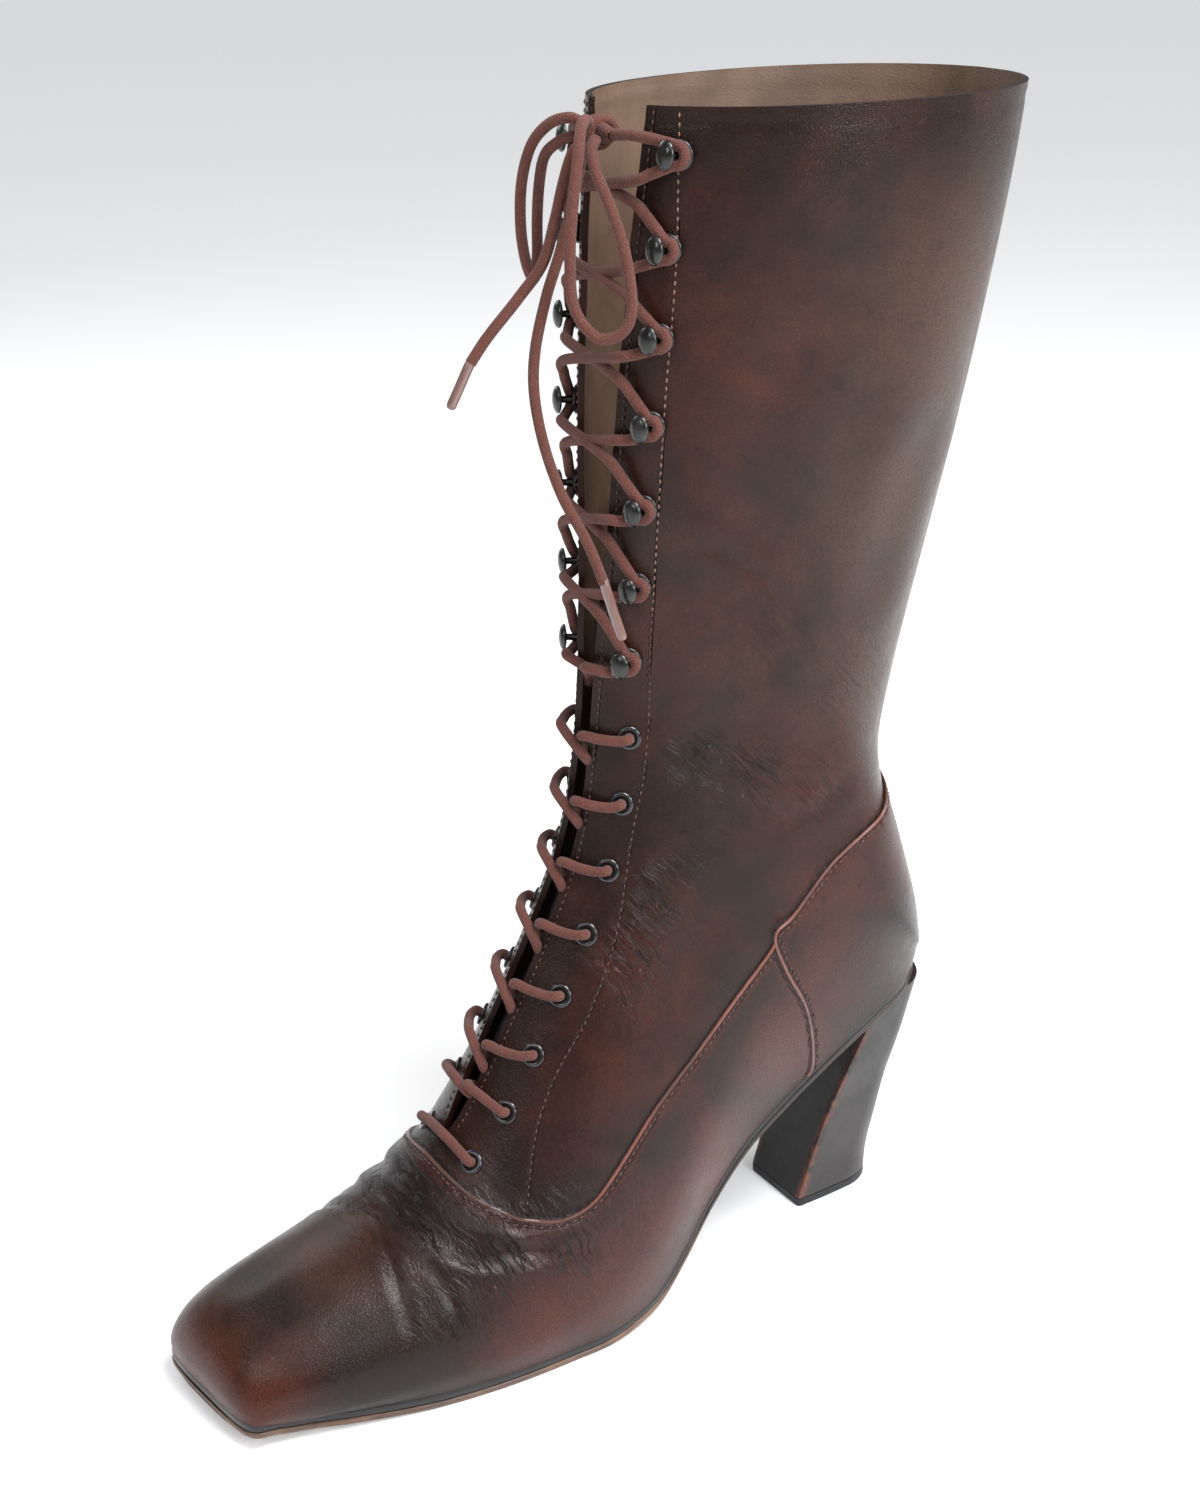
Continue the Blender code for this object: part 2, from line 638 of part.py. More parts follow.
def heel_solid(name, slot, low, high):
    """The heel between two shares of its height; the seat end follows the sole."""
    levels = table(HEEL_LEVELS)
    floor_z = TOP_LIFT + GAP
    bm = bmesh.new()
    rings = []
    shares = [low + (high - low) * k / 6 for k in range(7)] if high > 0 else [0, 0.001]
    for share in shares:
        at = float(np.interp(share, levels["up"], np.arange(len(levels["up"]))))
        front = smooth(levels["front"], at) * LENGTH
        back = smooth(levels["back"], at) * LENGTH
        half = smooth(levels["half"], at) * HEEL_SEAT_WIDTH
        outline = heel_outline(front, back, half)
        whole = outline + [(x, -y) for x, y in outline[-2::-1]]
        ring = []
        for x, y in whole:
            seat = underside(x) - SOLE_STACK
            z = floor_z + (seat - GAP - floor_z) * share
            ring.append(bm.verts.new((x, y, z)))
        rings.append(ring)
    if high <= 0:
        for v in rings[0]:
            v.co.z = 0
        for v in rings[1]:
            v.co.z = TOP_LIFT
    count = len(rings[0])
    for a, b in zip(rings, rings[1:]):
        for k in range(count):
            j = (k + 1) % count
            bm.faces.new((a[k], a[j], b[j], b[k]))
    for ring in (rings[0], rings[-1]):
        for k in range(count // 2):
            a, b = ring[k], ring[k + 1]
            c, d = ring[count - 2 - k], ring[count - 1 - k]
            unique = list(dict.fromkeys((a, b, c, d)))
            if len(unique) > 2:
                bm.faces.new(unique)
    return add_object(name, clean(bm), slot, angle=35)


def build_upper():
    bm = shell_from(last_surface(0, ROWS - 1), 0, WALL)
    upper = add_object("upper", bm, "upper")
    deep = WALL * 0.5
    reach = LEG_WIDTH
    overlays = (
        ("vamp_overlay", 0, 20, VAMP_STEP, curve_line(VAMP_LINE)),
        ("counter_overlay", 14, 29, COUNTER_STEP, curve_line(COUNTER_LINE)),
    )
    for name, first, last, step, outline in overlays:
        overlay = add_object(name, shell_from(last_surface(first, last), step, deep), "upper")
        boolean(overlay, prism(name + "_outline", outline, -reach, reach), "INTERSECT")
        boolean(upper, overlay, "UNION")
    return upper


def build_tongue():
    """A curved sheet behind the lacing, tucked under the vamp at its lower end."""
    columns = 4
    levels = [8, 9, 10, 11, 12, 14, 16, 18, 20, 22, 24]
    bm = bmesh.new()
    rows = []
    for at in levels:
        points = []
        drop = TONGUE_DEPTH * min((at - levels[0] + 0.6) / 3.2, 1) + GAP
        depth = max(WALL + 2 * GAP + TONGUE / 4, drop)
        for side, order in ((1, range(columns, 0, -1)), (-1, range(columns + 1))):
            for k in order:
                here, normal, _, _ = surface_frame(at, side, max(TONGUE_HALF_WIDTH * k / columns, 1e-4))
                points.append(here - normal * depth)
        beside = (points[columns - 1] + points[columns + 1]) / 2
        points[columns] = beside + (points[columns] - beside) * 0.4
        points[columns][1] = 0
        rows.append([bm.verts.new(p) for p in points])
    for a, b in zip(rows, rows[1:]):
        for k in range(len(a) - 1):
            bm.faces.new((a[k], a[k + 1], b[k + 1], b[k]))
    bmesh.ops.recalc_face_normals(bm, faces=bm.faces)
    bm.faces.ensure_lookup_table()
    if sum(face.normal.x for face in bm.faces) < 0:
        bmesh.ops.reverse_faces(bm, faces=bm.faces)
    return add_object("tongue", shell_from(bm, 0, TONGUE), "tongue")


def build_sole():
    plate("insole", "insole", -(WALL + INSOLE_INSET), -(INSOLE + GAP), INSOLE)
    plate("welt", "welt", WELT_EDGE, GAP, WELT)
    plate("outsole", "outsole", SOLE_EDGE, GAP + WELT + GAP, OUTSOLE)
    heel_solid("heel_block", "heel_block", 0, 1)
    heel_solid("top_lift", "top_lift", 0, 0)


def build_hardware(upper):
    barrel = EYELET_BORE + EYELET_METAL
    behind = -WALL - EYELET_BEHIND
    ring = ((EYELET_BORE, behind), (barrel, behind), (barrel, GAP), (EYELET_FLANGE, GAP),
            (EYELET_BORE, GAP + EYELET_LIP))
    base = HOOK_BASE_TOP
    neck = HOOK_NECK
    under_cap = base + LACE + 4 * GAP
    knob = ((0, GAP), (HOOK_BASE, GAP), (HOOK_BASE, base), (neck, base), (neck, under_cap),
            (HOOK_CAP, under_cap + HOOK_CAP_SLOPE),
            (HOOK_CAP * HOOK_CAP_INNER, under_cap + HOOK_CAP_DOME), (0, HOOK_HEIGHT))
    cutters = []
    for side, name in ((1, "outer"), (-1, "inner")):
        for k, at in enumerate(EYELET_ROWS):
            here, normal, _, _ = surface_frame(at, side, EYELET_INSET)
            turned(f"eyelet_{name}_{k + 1}", "eyelet", ring, here, normal, EYELET_SIDES)
            hole = ((0, -WALL * 2.5), (barrel + GAP, -WALL * 2.5), (barrel + GAP, WALL), (0, WALL))
            cutters.append(turned(f"hole_{name}_{k + 1}", "eyelet", hole, here, normal, EYELET_SIDES))
        for k, at in enumerate(HOOK_ROWS):
            here, normal, _, _ = surface_frame(at, side, HOOK_INSET)
            turned(f"hook_{name}_{k + 1}", "hook", knob, here, normal, HOOK_SIDES)
    for cutter in cutters:
        boolean(upper, cutter, "DIFFERENCE")


def over(at, side, inset, height):
    """A point height above a facing, inset from its edge, or past the edge if inset is negative."""
    here, normal, across, _ = surface_frame(at, side, max(inset, 0))
    return here + normal * height + across * min(inset, 0)


def from_eyelet(at, side):
    here, normal, _, _ = surface_frame(at, side, EYELET_INSET)
    return [here + normal * 0.0004, here + normal * 0.0026]


def strand(at, lower, side, lift):
    """From an eyelet over its own facing and the gap to just under the opposite facing."""
    points = from_eyelet(at, side)
    for inset, share in ((EYELET_INSET - 0.0035, 0.09), (EYELET_INSET / 3, 0.24), (-PAST_EDGE, 0.40)):
        points.append(over(at + (lower - at) * share, side, inset, ON_TOP + lift))
    for inset, share in ((-PAST_EDGE / 2, 0.62), (TUCKED, 0.75)):
        points.append(over(at + (lower - at) * share, -side, inset, UNDER + lift))
    return points


def hook_turn(at, side):
    """The bend of the lace round the far side of a hook's neck, from below it to above."""
    here, normal, across, up = surface_frame(at, side, HOOK_INSET)
    centre = here + normal * HOOK_LANE
    points = []
    for angle in (-105, -35, 35, 105):
        a = math.radians(angle)
        points.append(centre + HOOK_BEND * (math.cos(a) * across + math.sin(a) * up))
    return points


def hook_strand(side, lift, knot):
    """From under the facing at the top eyelet, side to side round every hook, to the knot."""
    top = EYELET_ROWS[-1]
    rise = HOOK_ROWS[0] - top
    points = [over(top + rise * 0.25, side, TUCKED, UNDER + lift)]
    points.append(over(top + rise * 0.38, side, -PAST_EDGE / 2, UNDER + lift))
    points.append(over(top + rise * 0.60, -side, -PAST_EDGE, ON_TOP + lift))
    points.append(over(top + rise * 0.74, -side, HOOK_INSET / 2, ON_TOP + lift))
    here = -side
    for k, at in enumerate(HOOK_ROWS):
        points += hook_turn(at, here)
        if k + 1 < len(HOOK_ROWS):
            rise = HOOK_ROWS[k + 1] - at
            points.append(over(at + rise * 0.27, here, HOOK_INSET / 2, ON_TOP + lift))
            points.append(over(at + rise * 0.40, here, GAP, ON_TOP + lift))
            here = -here
            points.append(over(at + rise * 0.62, here, GAP, ON_TOP + lift))
            points.append(over(at + rise * 0.74, here, HOOK_INSET / 2, ON_TOP + lift))
    points.append(over(KNOT_ROW, here, GAP, ON_TOP))
    points.append(knot + np.array((0, here * (KNOT_HALF + 0.0006), 0)))
    return points


def joined(name, first, second):
    """Two tubes joined where they cross."""
    obj = add_object(name, tube_mesh(first, LACE / 2), "lace", angle=80)
    other = add_object(name + "_other", tube_mesh(second, LACE / 2), "lace", angle=80)
    boolean(obj, other, "UNION")
    return obj


def build_laces():
    lowest = EYELET_ROWS[0]
    ends = [from_eyelet(lowest, side) for side in (1, -1)]
    across = [over(lowest, side, inset, BAR_TOP) for side, insets in ((1, (0.010, 0.005, 0)), (-1, (0.005, 0.010)))
              for inset in insets]
    add_object("lace_bar", tube_mesh(ends[0] + across + ends[1][::-1], LACE / 2), "lace", angle=80)
    for k in range(1, EYELETS):
        at, lower = EYELET_ROWS[k], EYELET_ROWS[k - 1]
        if k == 1:
            lower = at + (lower - at) * THROAT_FALL
        joined(f"lace_crossing_{k}", strand(at, lower, 1, 0), strand(at, lower, -1, LANE))
    edge = over(KNOT_ROW, 1, 0, 0)
    knot = np.array((edge[0] + KNOT_PROUD, 0, edge[2]))
    joined("lace_hooks", hook_strand(1, 0, knot), hook_strand(-1, LANE, knot))
    half, radius = KNOT_HALF, KNOT_RADIUS
    profile = ((0, -half), (radius * 0.75, -half * 0.75), (radius, 0), (radius * 0.75, half * 0.75), (0, half))
    turned("lace_knot", "lace", profile, knot, (0, 1, 0), 8)
    cord("lace_end_long", "lace", LACE_END_LONG, 16)
    cord("lace_end_short", "lace", LACE_END_SHORT, 11)
    cord("lace_loop_outer", "lace", BOW_LOOP_LONG, 17)
    cord("lace_loop_inner", "lace", BOW_LOOP_SHORT, 17)
    cord("aglet_long", "aglet", AGLET_LONG, 3, AGLET)
    cord("aglet_short", "aglet", AGLET_SHORT, 3, AGLET)


def main():
    for obj in list(bpy.data.objects):
        bpy.data.objects.remove(obj, do_unlink=True)
    upper = build_upper()
    build_hardware(upper)
    build_tongue()
    build_sole()
    build_laces()


main()
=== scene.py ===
"""Looks of a left lace-up boot with a square toe and a high block heel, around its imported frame."""
import math

import bmesh
import bpy
import numpy as np
from bpy.props import FloatProperty, FloatVectorProperty, PointerProperty
from mathutils import Matrix, Vector
from mathutils.bvhtree import BVHTree
from mathutils.kdtree import KDTree


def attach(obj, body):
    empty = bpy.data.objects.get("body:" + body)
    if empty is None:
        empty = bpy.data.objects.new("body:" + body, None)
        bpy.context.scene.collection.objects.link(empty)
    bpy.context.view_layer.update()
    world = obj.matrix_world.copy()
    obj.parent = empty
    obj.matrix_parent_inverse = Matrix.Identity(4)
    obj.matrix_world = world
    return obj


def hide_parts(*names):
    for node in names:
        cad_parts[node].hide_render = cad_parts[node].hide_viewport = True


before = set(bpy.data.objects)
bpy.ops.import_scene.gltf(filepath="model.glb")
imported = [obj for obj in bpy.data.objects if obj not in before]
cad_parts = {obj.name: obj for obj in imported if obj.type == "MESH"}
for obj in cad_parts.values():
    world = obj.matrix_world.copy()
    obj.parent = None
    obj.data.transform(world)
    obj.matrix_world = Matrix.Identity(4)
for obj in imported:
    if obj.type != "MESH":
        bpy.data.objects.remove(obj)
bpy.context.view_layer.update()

bl_info = {
    "name": "Lace-up heeled boot",
    "version": (1, 0, 0),
    "blender": (4, 5, 0),
    "location": "View3D > Sidebar > Boot",
    "description": "Builds the leather, laces, seams and studio of a lace-up heeled boot",
    "category": "Object",
}

# Main sizes, in metres, as in the part's source
LENGTH = 0.254
BALL_WIDTH = 0.083
HEEL_HEIGHT = 0.082
THROAT_HEIGHT = 0.065
SHAFT_HEIGHT = 0.270
LEG_WIDTH = 0.103
WALL = 0.0018
GAP = 0.0003
TOE_SLANT = 0.13
OUTSOLE = 0.0024
WELT = 0.0014
SOLE_EDGE = 0.0008
INSOLE = 0.0022
INSOLE_INSET = 0.0016
TOP_LIFT = 0.0028
HEEL_SEAT_WIDTH = 0.049
EYELETS = 8
HOOKS = 7
FIRST_EYELET = 0.42
EYELET_INSET = 0.0135
HOOK_INSET = 0.0112
EYELET_BORE = 0.0019
EYELET_FLANGE = 0.0036
EYELET_SPACING = 0.01935
HOOK_SPACING = 0.0219
TONGUE_DEPTH = 0.0062
TONGUE_HALF_WIDTH = 0.021
KNOT_ROW = 34.2
KNOT_HALF = 0.0070
SOLE_STACK = OUTSOLE + WELT + 2 * GAP
COLLAR_HEIGHT = HEEL_HEIGHT + SHAFT_HEIGHT
THROAT_ROW = 10
HEEL_ROW = 23

# The rand: how far it stands out, rises over the upper's edge and falls over the outsole
RAND_EDGE = 0.0009
RAND_RISE = 0.0005
RAND_FALL = 0.0011

# The lace's way: heights over the leather, insets from the facing's edge, spacing of its rings
UNDER = -(WALL + 0.0008 + 0.0015)
IN_EYELET = 0.0004
OVER_EYELET = 0.0012
ARCHED = 0.0026
ON_TOP = 0.0021
AT_HOOKS = 0.0027
NEAR_KNOT = 0.0029
CROSSED = 0.0016
PAST_EDGE = 0.0012
TUCKED = 0.0045
OFF_EYELET = 0.0035
SECOND_LANE = 0.0014
SECOND_HOOK_LANE = 0.0009
THROAT_FALL = 0.3
LACE_STEP = 0.0006
AGLET_STEP = 0.0008
KNOT_PROUD = 0.0043

# The camera's place is the one that was fitted to the photo, in metres and degrees
CAMERA_FROM = (0.3718, 0.4817, 0.4098)
CAMERA_AT = (0.0738, -0.0095, 0.165)
CAMERA_ROLL = -1.45
PHOTO_FRAME = (1200, 1500)
FRAME_MARGIN = 0.045

# Soft light: name, place in metres, width in metres, watts and tint
LAMPS = (
    ("key", (-0.15, 0.5, 1.35), 0.65, 18, (0.93, 0.96, 1)),
    ("window", (-0.2, 1.3, 0.75), 0.6, 11, (0.88, 0.94, 1)),
    ("toe_side", (1.25, 0.25, 0.9), 0.5, 3, (0.93, 0.96, 1)),
    ("back_side", (-0.9, 0.3, 0.6), 0.5, 5, (1, 0.95, 0.88)),
    ("inner_side", (0.3, -1.2, 0.9), 0.8, 4, (0.95, 0.97, 1)),
)
LAMPS_AIM = (0.06, 0, 0.13)
DAYLIGHT = 1.35
DAYLIGHT_SPREAD = 70
DAYLIGHT_FROM = (0.15, 0.45, 1.0)
SKY_LIGHT = 0.21
FLOOR_GLOW = 0.2
FLOOR_RADIUS = 30

# One row for each section of the last, from the toe to the collar, as in the part's source
SECTIONS = (
    "low_along low_up high_along high_up outer inner foot_out foot_in belly full peak slit",
    (0.833, 0.052, 0.856, 0.140, 0.280, 0.280, 0.266, 0.271, 0.02, 4.2, 3.4, 0),
    (0.811, 0.042, 0.858, 0.225, 0.303, 0.308, 0.290, 0.300, 0.10, 3.6, 3, 0),
    (0.780, 0.032, 0.850, 0.318, 0.332, 0.337, 0.309, 0.333, 0.14, 3.1, 2.6, 0),
    (0.748, 0.023, 0.833, 0.400, 0.360, 0.364, 0.337, 0.360, 0.17, 2.7, 2.3, 0),
    (0.713, 0.016, 0.806, 0.472, 0.386, 0.388, 0.364, 0.384, 0.19, 2.4, 2.1, 0),
    (0.673, 0.008, 0.763, 0.540, 0.412, 0.412, 0.391, 0.408, 0.21, 2.2, 2, 0),
    (0.634, 0.003, 0.713, 0.602, 0.438, 0.436, 0.416, 0.430, 0.23, 2.1, 1.95, 0),
    (0.591, 0.000, 0.657, 0.672, 0.462, 0.458, 0.436, 0.448, 0.24, 2.1, 1.9, 0),
    (0.547, 0.000, 0.610, 0.765, 0.480, 0.474, 0.451, 0.456, 0.25, 2.1, 1.85, 0),
    (0.504, 0.000, 0.577, 0.870, 0.494, 0.478, 0.458, 0.452, 0.25, 2.1, 1.75, 0),
    (0.461, 0.000, 0.551, 0.980, 0.500, 0.474, 0.459, 0.434, 0.26, 2.1, 1.65, 0),
    (0.417, 0.005, 0.525, 1.022, 0.500, 0.464, 0.462, 0.402, 0.27, 2.1, 1.6, 0.030),
    (0.374, 0.019, 0.497, 1.066, 0.490, 0.446, 0.440, 0.362, 0.28, 2.1, 1.55, 0.045),
    (0.331, 0.058, 0.467, 1.115, 0.476, 0.428, 0.405, 0.315, 0.30, 2.1, 1.5, 0.050),
    (0.287, 0.175, 0.432, 1.170, 0.458, 0.412, 0.366, 0.272, 0.32, 2.1, 1.5, 0.052),
    (0.240, 0.338, 0.402, 1.220, 0.440, 0.400, 0.330, 0.240, 0.34, 2.1, 1.5, 0.052),
    (0.185, 0.506, 0.378, 1.267, 0.426, 0.392, 0.308, 0.226, 0.36, 2.1, 1.5, 0.052),
    (0.126, 0.643, 0.362, 1.310, 0.416, 0.388, 0.306, 0.236, 0.37, 2.1, 1.5, 0.051),
    (0.063, 0.779, 0.353, 1.348, 0.408, 0.386, 0.314, 0.262, 0.37, 2.1, 1.5, 0.050),
    (0.000, 0.890, 0.347, 1.387, 0.402, 0.386, 0.312, 0.290, 0.36, 2.1, 1.5, 0.049),
    (-0.055, 0.961, 0.343, 1.425, 0.400, 0.388, 0.282, 0.275, 0.34, 2.1, 1.5, 0.050),
    (-0.095, 0.992, 0.341, 1.456, 0.400, 0.391, 0.196, 0.193, 0.32, 2.1, 1.5, 0.052),
    (-0.113, 1.000, 0.339, 1.481, 0.400, 0.393, 0.100, 0.099, 0.30, 2.1, 1.5, 0.054),
    (-0.119, 1.001, 0.338, 1.502, 0.400, 0.394, 0, 0, 0.30, 2.1, 1.55, 0.058),
    (-0.112, 1.048, 0.335, 1.533, 0.400, 0.395, 0, 0, 0.31, 2.1, 1.6, 0.065),
    (-0.098, 1.098, 0.332, 1.561, 0.400, 0.396, 0, 0, 0.33, 2.1, 1.65, 0.074),
    (-0.080, 1.154, 0.329, 1.592, 0.402, 0.399, 0, 0, 0.36, 2.1, 1.7, 0.084),
    (-0.060, 1.215, 0.326, 1.631, 0.408, 0.405, 0, 0, 0.40, 2.1, 1.75, 0.095),
    (-0.052, 1.276, 0.323, 1.672, 0.420, 0.417, 0, 0, 0.43, 2.1, 1.8, 0.105),
    (-0.068, 1.358, 0.319, 1.718, 0.444, 0.440, 0, 0, 0.45, 2.1, 1.85, 0.115),
    (-0.094, 1.460, 0.314, 1.770, 0.478, 0.473, 0, 0, 0.46, 2.1, 1.9, 0.125),
    (-0.125, 1.578, 0.308, 1.826, 0.518, 0.512, 0, 0, 0.46, 2.1, 1.9, 0.135),
    (-0.152, 1.689, 0.302, 1.885, 0.556, 0.550, 0, 0, 0.46, 2.1, 1.95, 0.145),
    (-0.177, 1.807, 0.295, 1.930, 0.590, 0.584, 0, 0, 0.46, 2.1, 2, 0.155),
    (-0.198, 1.915, 0.290, 1.968, 0.612, 0.606, 0, 0, 0.46, 2.1, 2, 0.163),
    (-0.212, 2.000, 0.286, 2.000, 0.620, 0.614, 0, 0, 0.46, 2.1, 2, 0.170),
)
HEEL_LEVELS = (
    "up front back half",
    (0.00, 0.0660, -0.0660, 0.270),
    (0.12, 0.0560, -0.0690, 0.272),
    (0.30, 0.0420, -0.0810, 0.285),
    (0.50, 0.0260, -0.0930, 0.318),
    (0.70, 0.0080, -0.1070, 0.375),
    (0.86, -0.0080, -0.1130, 0.425),
    (1.00, -0.0160, -0.1180, 0.470),
)

# Seams of the outer side in millimetres, mirrored on the inner side
VAMP_SEAM = (
    (42.5, 32, 116.5), (43.5, 31, 112.4), (57.4, 33, 100.2), (72.4, 34, 86.4), (85.5, 35, 74.8),
    (98.6, 35.5, 60.5), (108.2, 35, 51.1), (117.6, 34, 47.7), (125.6, 31, 48.3), (132.5, 26, 49.9),
    (138.8, 20, 54.6), (143.2, 12, 59.3), (145.0, 5, 61.5), (145.2, 0, 62),
)
COUNTER_SEAM = (
    (22.8, 28, 57), (22.4, 29, 60.8), (23.5, 30, 67.9), (26.7, 31, 79.4), (31, 31.5, 90.5), (38.3, 32, 103.7),
    (42.5, 32, 116.5), (35.8, 31, 121.1), (21.8, 28, 133.6), (5.3, 22, 144.1), (-9.7, 14, 148.9),
    (-15, 5, 151.4), (-16, 0, 151.8),
)
EYESTAY_SEAM = (
    (66, 351), (68, 315), (70.5, 279), (72, 243), (72.8, 206), (73, 190), (76, 170), (81, 152), (89, 125),
    (100, 103), (110.5, 88), (119.5, 72), (128.5, 49.5),
)

# Folds of the outer side from the ridge outwards: depth and half width, then places, in millimetres
FOLDS = (
    (0.75, 1.7, ((162.9, 0, 46), (164.2, 8, 44.9), (164.9, 15.7, 42.1), (166.1, 22.9, 38), (166.8, 28.8, 33),
                 (167.2, 33.3, 27.1), (166.9, 36.1, 20.7))),
    (0.5, 1.5, ((157.3, 21.4, 42.9), (155.2, 29.1, 37.9), (154.1, 34.4, 31.8), (154.3, 38.1, 23))),
    (1.5, 2.3, ((153.6, 0, 51), (154, 10.9, 49.6), (152.3, 17.8, 47.8), (149.6, 24.5, 45.1),
                (145.2, 30, 42.5),
                (138, 34, 41.6), (130, 36.9, 41.2), (121.6, 39.2, 39.5), (115.5, 41.3, 32.9))),
    (1.0, 1.8, ((149.6, 0, 54.8), (150.8, 10.2, 52), (149.3, 18.5, 49.4), (145.9, 25.5, 46.6),
                (138.8, 31.6, 44.6), (130.3, 35.9, 42.9), (118.9, 38.3, 43.8), (110.9, 39.4, 43.7))),
    (0.5, 1.4, ((125.4, 39.4, 37.1), (116.7, 39.7, 40.2), (108.9, 41.2, 33.7))),
    (0.45, 1.3, ((158.4, 34.6, 29.1), (155.6, 37.8, 23.2))),
    (0.45, 1.3, ((147.5, 37.6, 29.1), (144.9, 40, 21.5))),
    (0.3, 5.0, ((201, 14, 27), (196, 10, 32), (189, 12, 34.5), (182, 16, 35))),
    (0.7, 8.0, ((42, 38, 305), (48, 35, 262), (50, 31, 222))),
    (0.8, 9.0, ((-12, 40, 275), (6, 38, 238), (14, 34, 203))),
    (0.7, 7.0, ((62, 24, 188), (42, 31, 178), (18, 33, 172))),
    (0.5, 7.0, ((84, 33, 100), (70, 32, 118), (52, 31, 134))),
    (0.7, 2.6, ((54.4, 24.9, 172.1), (46, 27.7, 167.6), (37.2, 30.1, 163.6), (28.5, 31.8, 157.4))),
    (0.6, 2.4, ((68, 22, 238.9), (58, 28.8, 236.4), (49.8, 32.2, 229.6), (41.3, 34.3, 220.5),
                (35.3, 34.7, 209.1), (27.7, 34.8, 199.7))),
    (0.5, 2.2, ((56.2, 25.1, 195.2), (51.1, 27.7, 195.9), (45.4, 30.4, 198.2))),
    (0.5, 2.4, ((38.4, 30, 149.6), (25.3, 32.1, 153), (14, 33.1, 162))),
    (0.4, 1.6, ((86, 17.9, 137), (79.5, 23.2, 134.4), (71, 27.1, 132.9))),
    (0.4, 1.6, ((100.1, 10.3, 122.8), (94.5, 19.2, 118.5), (86.2, 25.6, 116.1), (79.4, 30.1, 109.1))),
)

# Finely wrinkled areas, areas of their own colour and areas of painted shade, in millimetres
AREAS = (
    "kind x y z reach strength",
    (0, 150, 12, 49, 17, 1.0),
    (0, 137, 34, 42, 15, 1.0),
    (0, 117, 38, 42, 14, 0.9),
    (0, 152, 36, 28, 12, 0.8),
    (0, 100, 38, 48, 12, 0.4),
    (0, 46, 28, 168, 15, 0.8),
    (0, 60, 23, 175, 10, 0.9),
    (0, 84, 26, 118, 13, 0.8),
    (0, 74, 26, 134, 12, 0.8),
    (0, 26, 32, 158, 15, 0.6),
    (0, 42, 34, 210, 13, 0.5),
    (0, 14, 34, 190, 18, 0.5),
    (1, 108, 41, 26, 24, 1.0),
    (1, 132, 42, 20, 22, 0.8),
    (1, 84, 38, 40, 22, 0.9),
    (1, 64, 34, 46, 22, 1.0),
    (1, 217, 6, 16, 17, 1.0),
    (1, 210, 24, 14, 17, 1.0),
    (1, 219, -14, 18, 15, 0.8),
    (1, 37, 33, 78, 20, 0.9),
    (1, 19, 33, 99, 22, 0.7),
    (1, 100, 31, 78, 24, 0.45),
    (1, 60, 30, 290, 36, 0.45),
    (1, 62, 26, 228, 30, 0.45),
    (1, 78, 30, 112, 26, 0.45),
    (1, 8, 34, 128, 24, 0.5),
    (1, 30, 36, 160, 30, 0.4),
    (2, 182, 6, 39, 20, 0.8),
    (2, 168, 4, 44, 12, 0.6),
    (2, 206, -6, 28, 12, 0.5),
    (2, -6, 43, 295, 38, 1.0),
    (2, 10, 41, 245, 36, 0.8),
    (2, 10, 34, 192, 30, 0.7),
    (2, 50, 26, 200, 16, 0.5),
    (2, 46, 33, 77, 13, 0.5),
    (2, 78, 25, 240, 15, 0.3),
    (3, 140, 32, 45, 28, 0.8),
    (3, 118, 38, 46, 26, 0.7),
    (3, 90, 35, 60, 26, 0.6),
    (3, 182, 33, 18, 24, 0.7),
    (3, 110, 32, 70, 26, 0.5),
    (3, 0, 34, 108, 22, 0.6),
    (3, 196, 8, 34, 14, 0.8),
    (3, 167, 37, 13, 16, 0.7),
    (3, 152, 10, 50, 12, 0.8),
    (3, 98, 34, 58, 14, 0.6),
    (3, 42, 37, 250, 24, 0.35),
    (3, 0, 34, 70, 16, 0.6),
    (3, 10, 36, 62, 14, 0.5),
    (3, 60, 33, 96, 12, 0.5),
    (3, -4, 33, 122, 14, 0.5),
)
AREA_NAMES = ("wrinkle", "burnish", "tan", "shade")

# Free ends and bow, in millimetres, as in the part's source
LACE_END_LONG = (
    (80.0, 1.8, 341.6), (82.2, 2.2, 339.6), (84.2, 2.2, 333), (86.8, 2, 324), (90, 2, 315), (94.8, 3, 305),
    (99.2, 4, 292), (100.5, 5, 280.7), (99.2, 7, 267.3), (95.4, 9, 253.5), (90, 12.5, 240.2),
    (87.1, 16, 228.8),
)
LACE_END_SHORT = (
    (80.0, -1.8, 341.8), (82.4, -2.4, 339.8), (85.2, -2.8, 332.5), (88.4, -2.4, 323), (92.8, -1.6, 313),
    (100.2, -2, 304.8), (108.7, -4, 295.4), (113.6, -5.6, 288.5),
)
BOW_LOOP_LONG = (
    (79.8, 2.3, 347.4), (82.4, 4, 348.4), (85.8, 7.6, 346.8), (88.8, 11, 341), (91.5, 12.5, 330),
    (93.2, 13, 317), (93.3, 14.5, 304), (89.2, 18.5, 296.5), (84, 22.3, 297.5), (81.6, 23.5, 304),
    (82.5, 22.3, 317), (84, 18.5, 328), (84.8, 12.5, 337), (83.4, 8.6, 341.6), (79.9, 5.2, 343.9),
)
BOW_LOOP_SHORT = (
    (79.8, -2.3, 347.4), (82.4, -4.2, 348.4), (85.4, -9, 346.6), (88, -14, 341), (89, -18, 331),
    (88, -21, 319), (85, -24, 309), (81.2, -26.8, 304), (79.6, -27.4, 310), (80.6, -25, 320),
    (82.5, -20, 330), (84.4, -13.5, 338), (83.2, -8.8, 341.8), (79.9, -5.2, 343.9),
)
AGLET_LONG = ((87.4, 15.4, 231), (86.9, 16.3, 228.1), (85.6, 18.1, 221), (84.1, 20, 213.8))
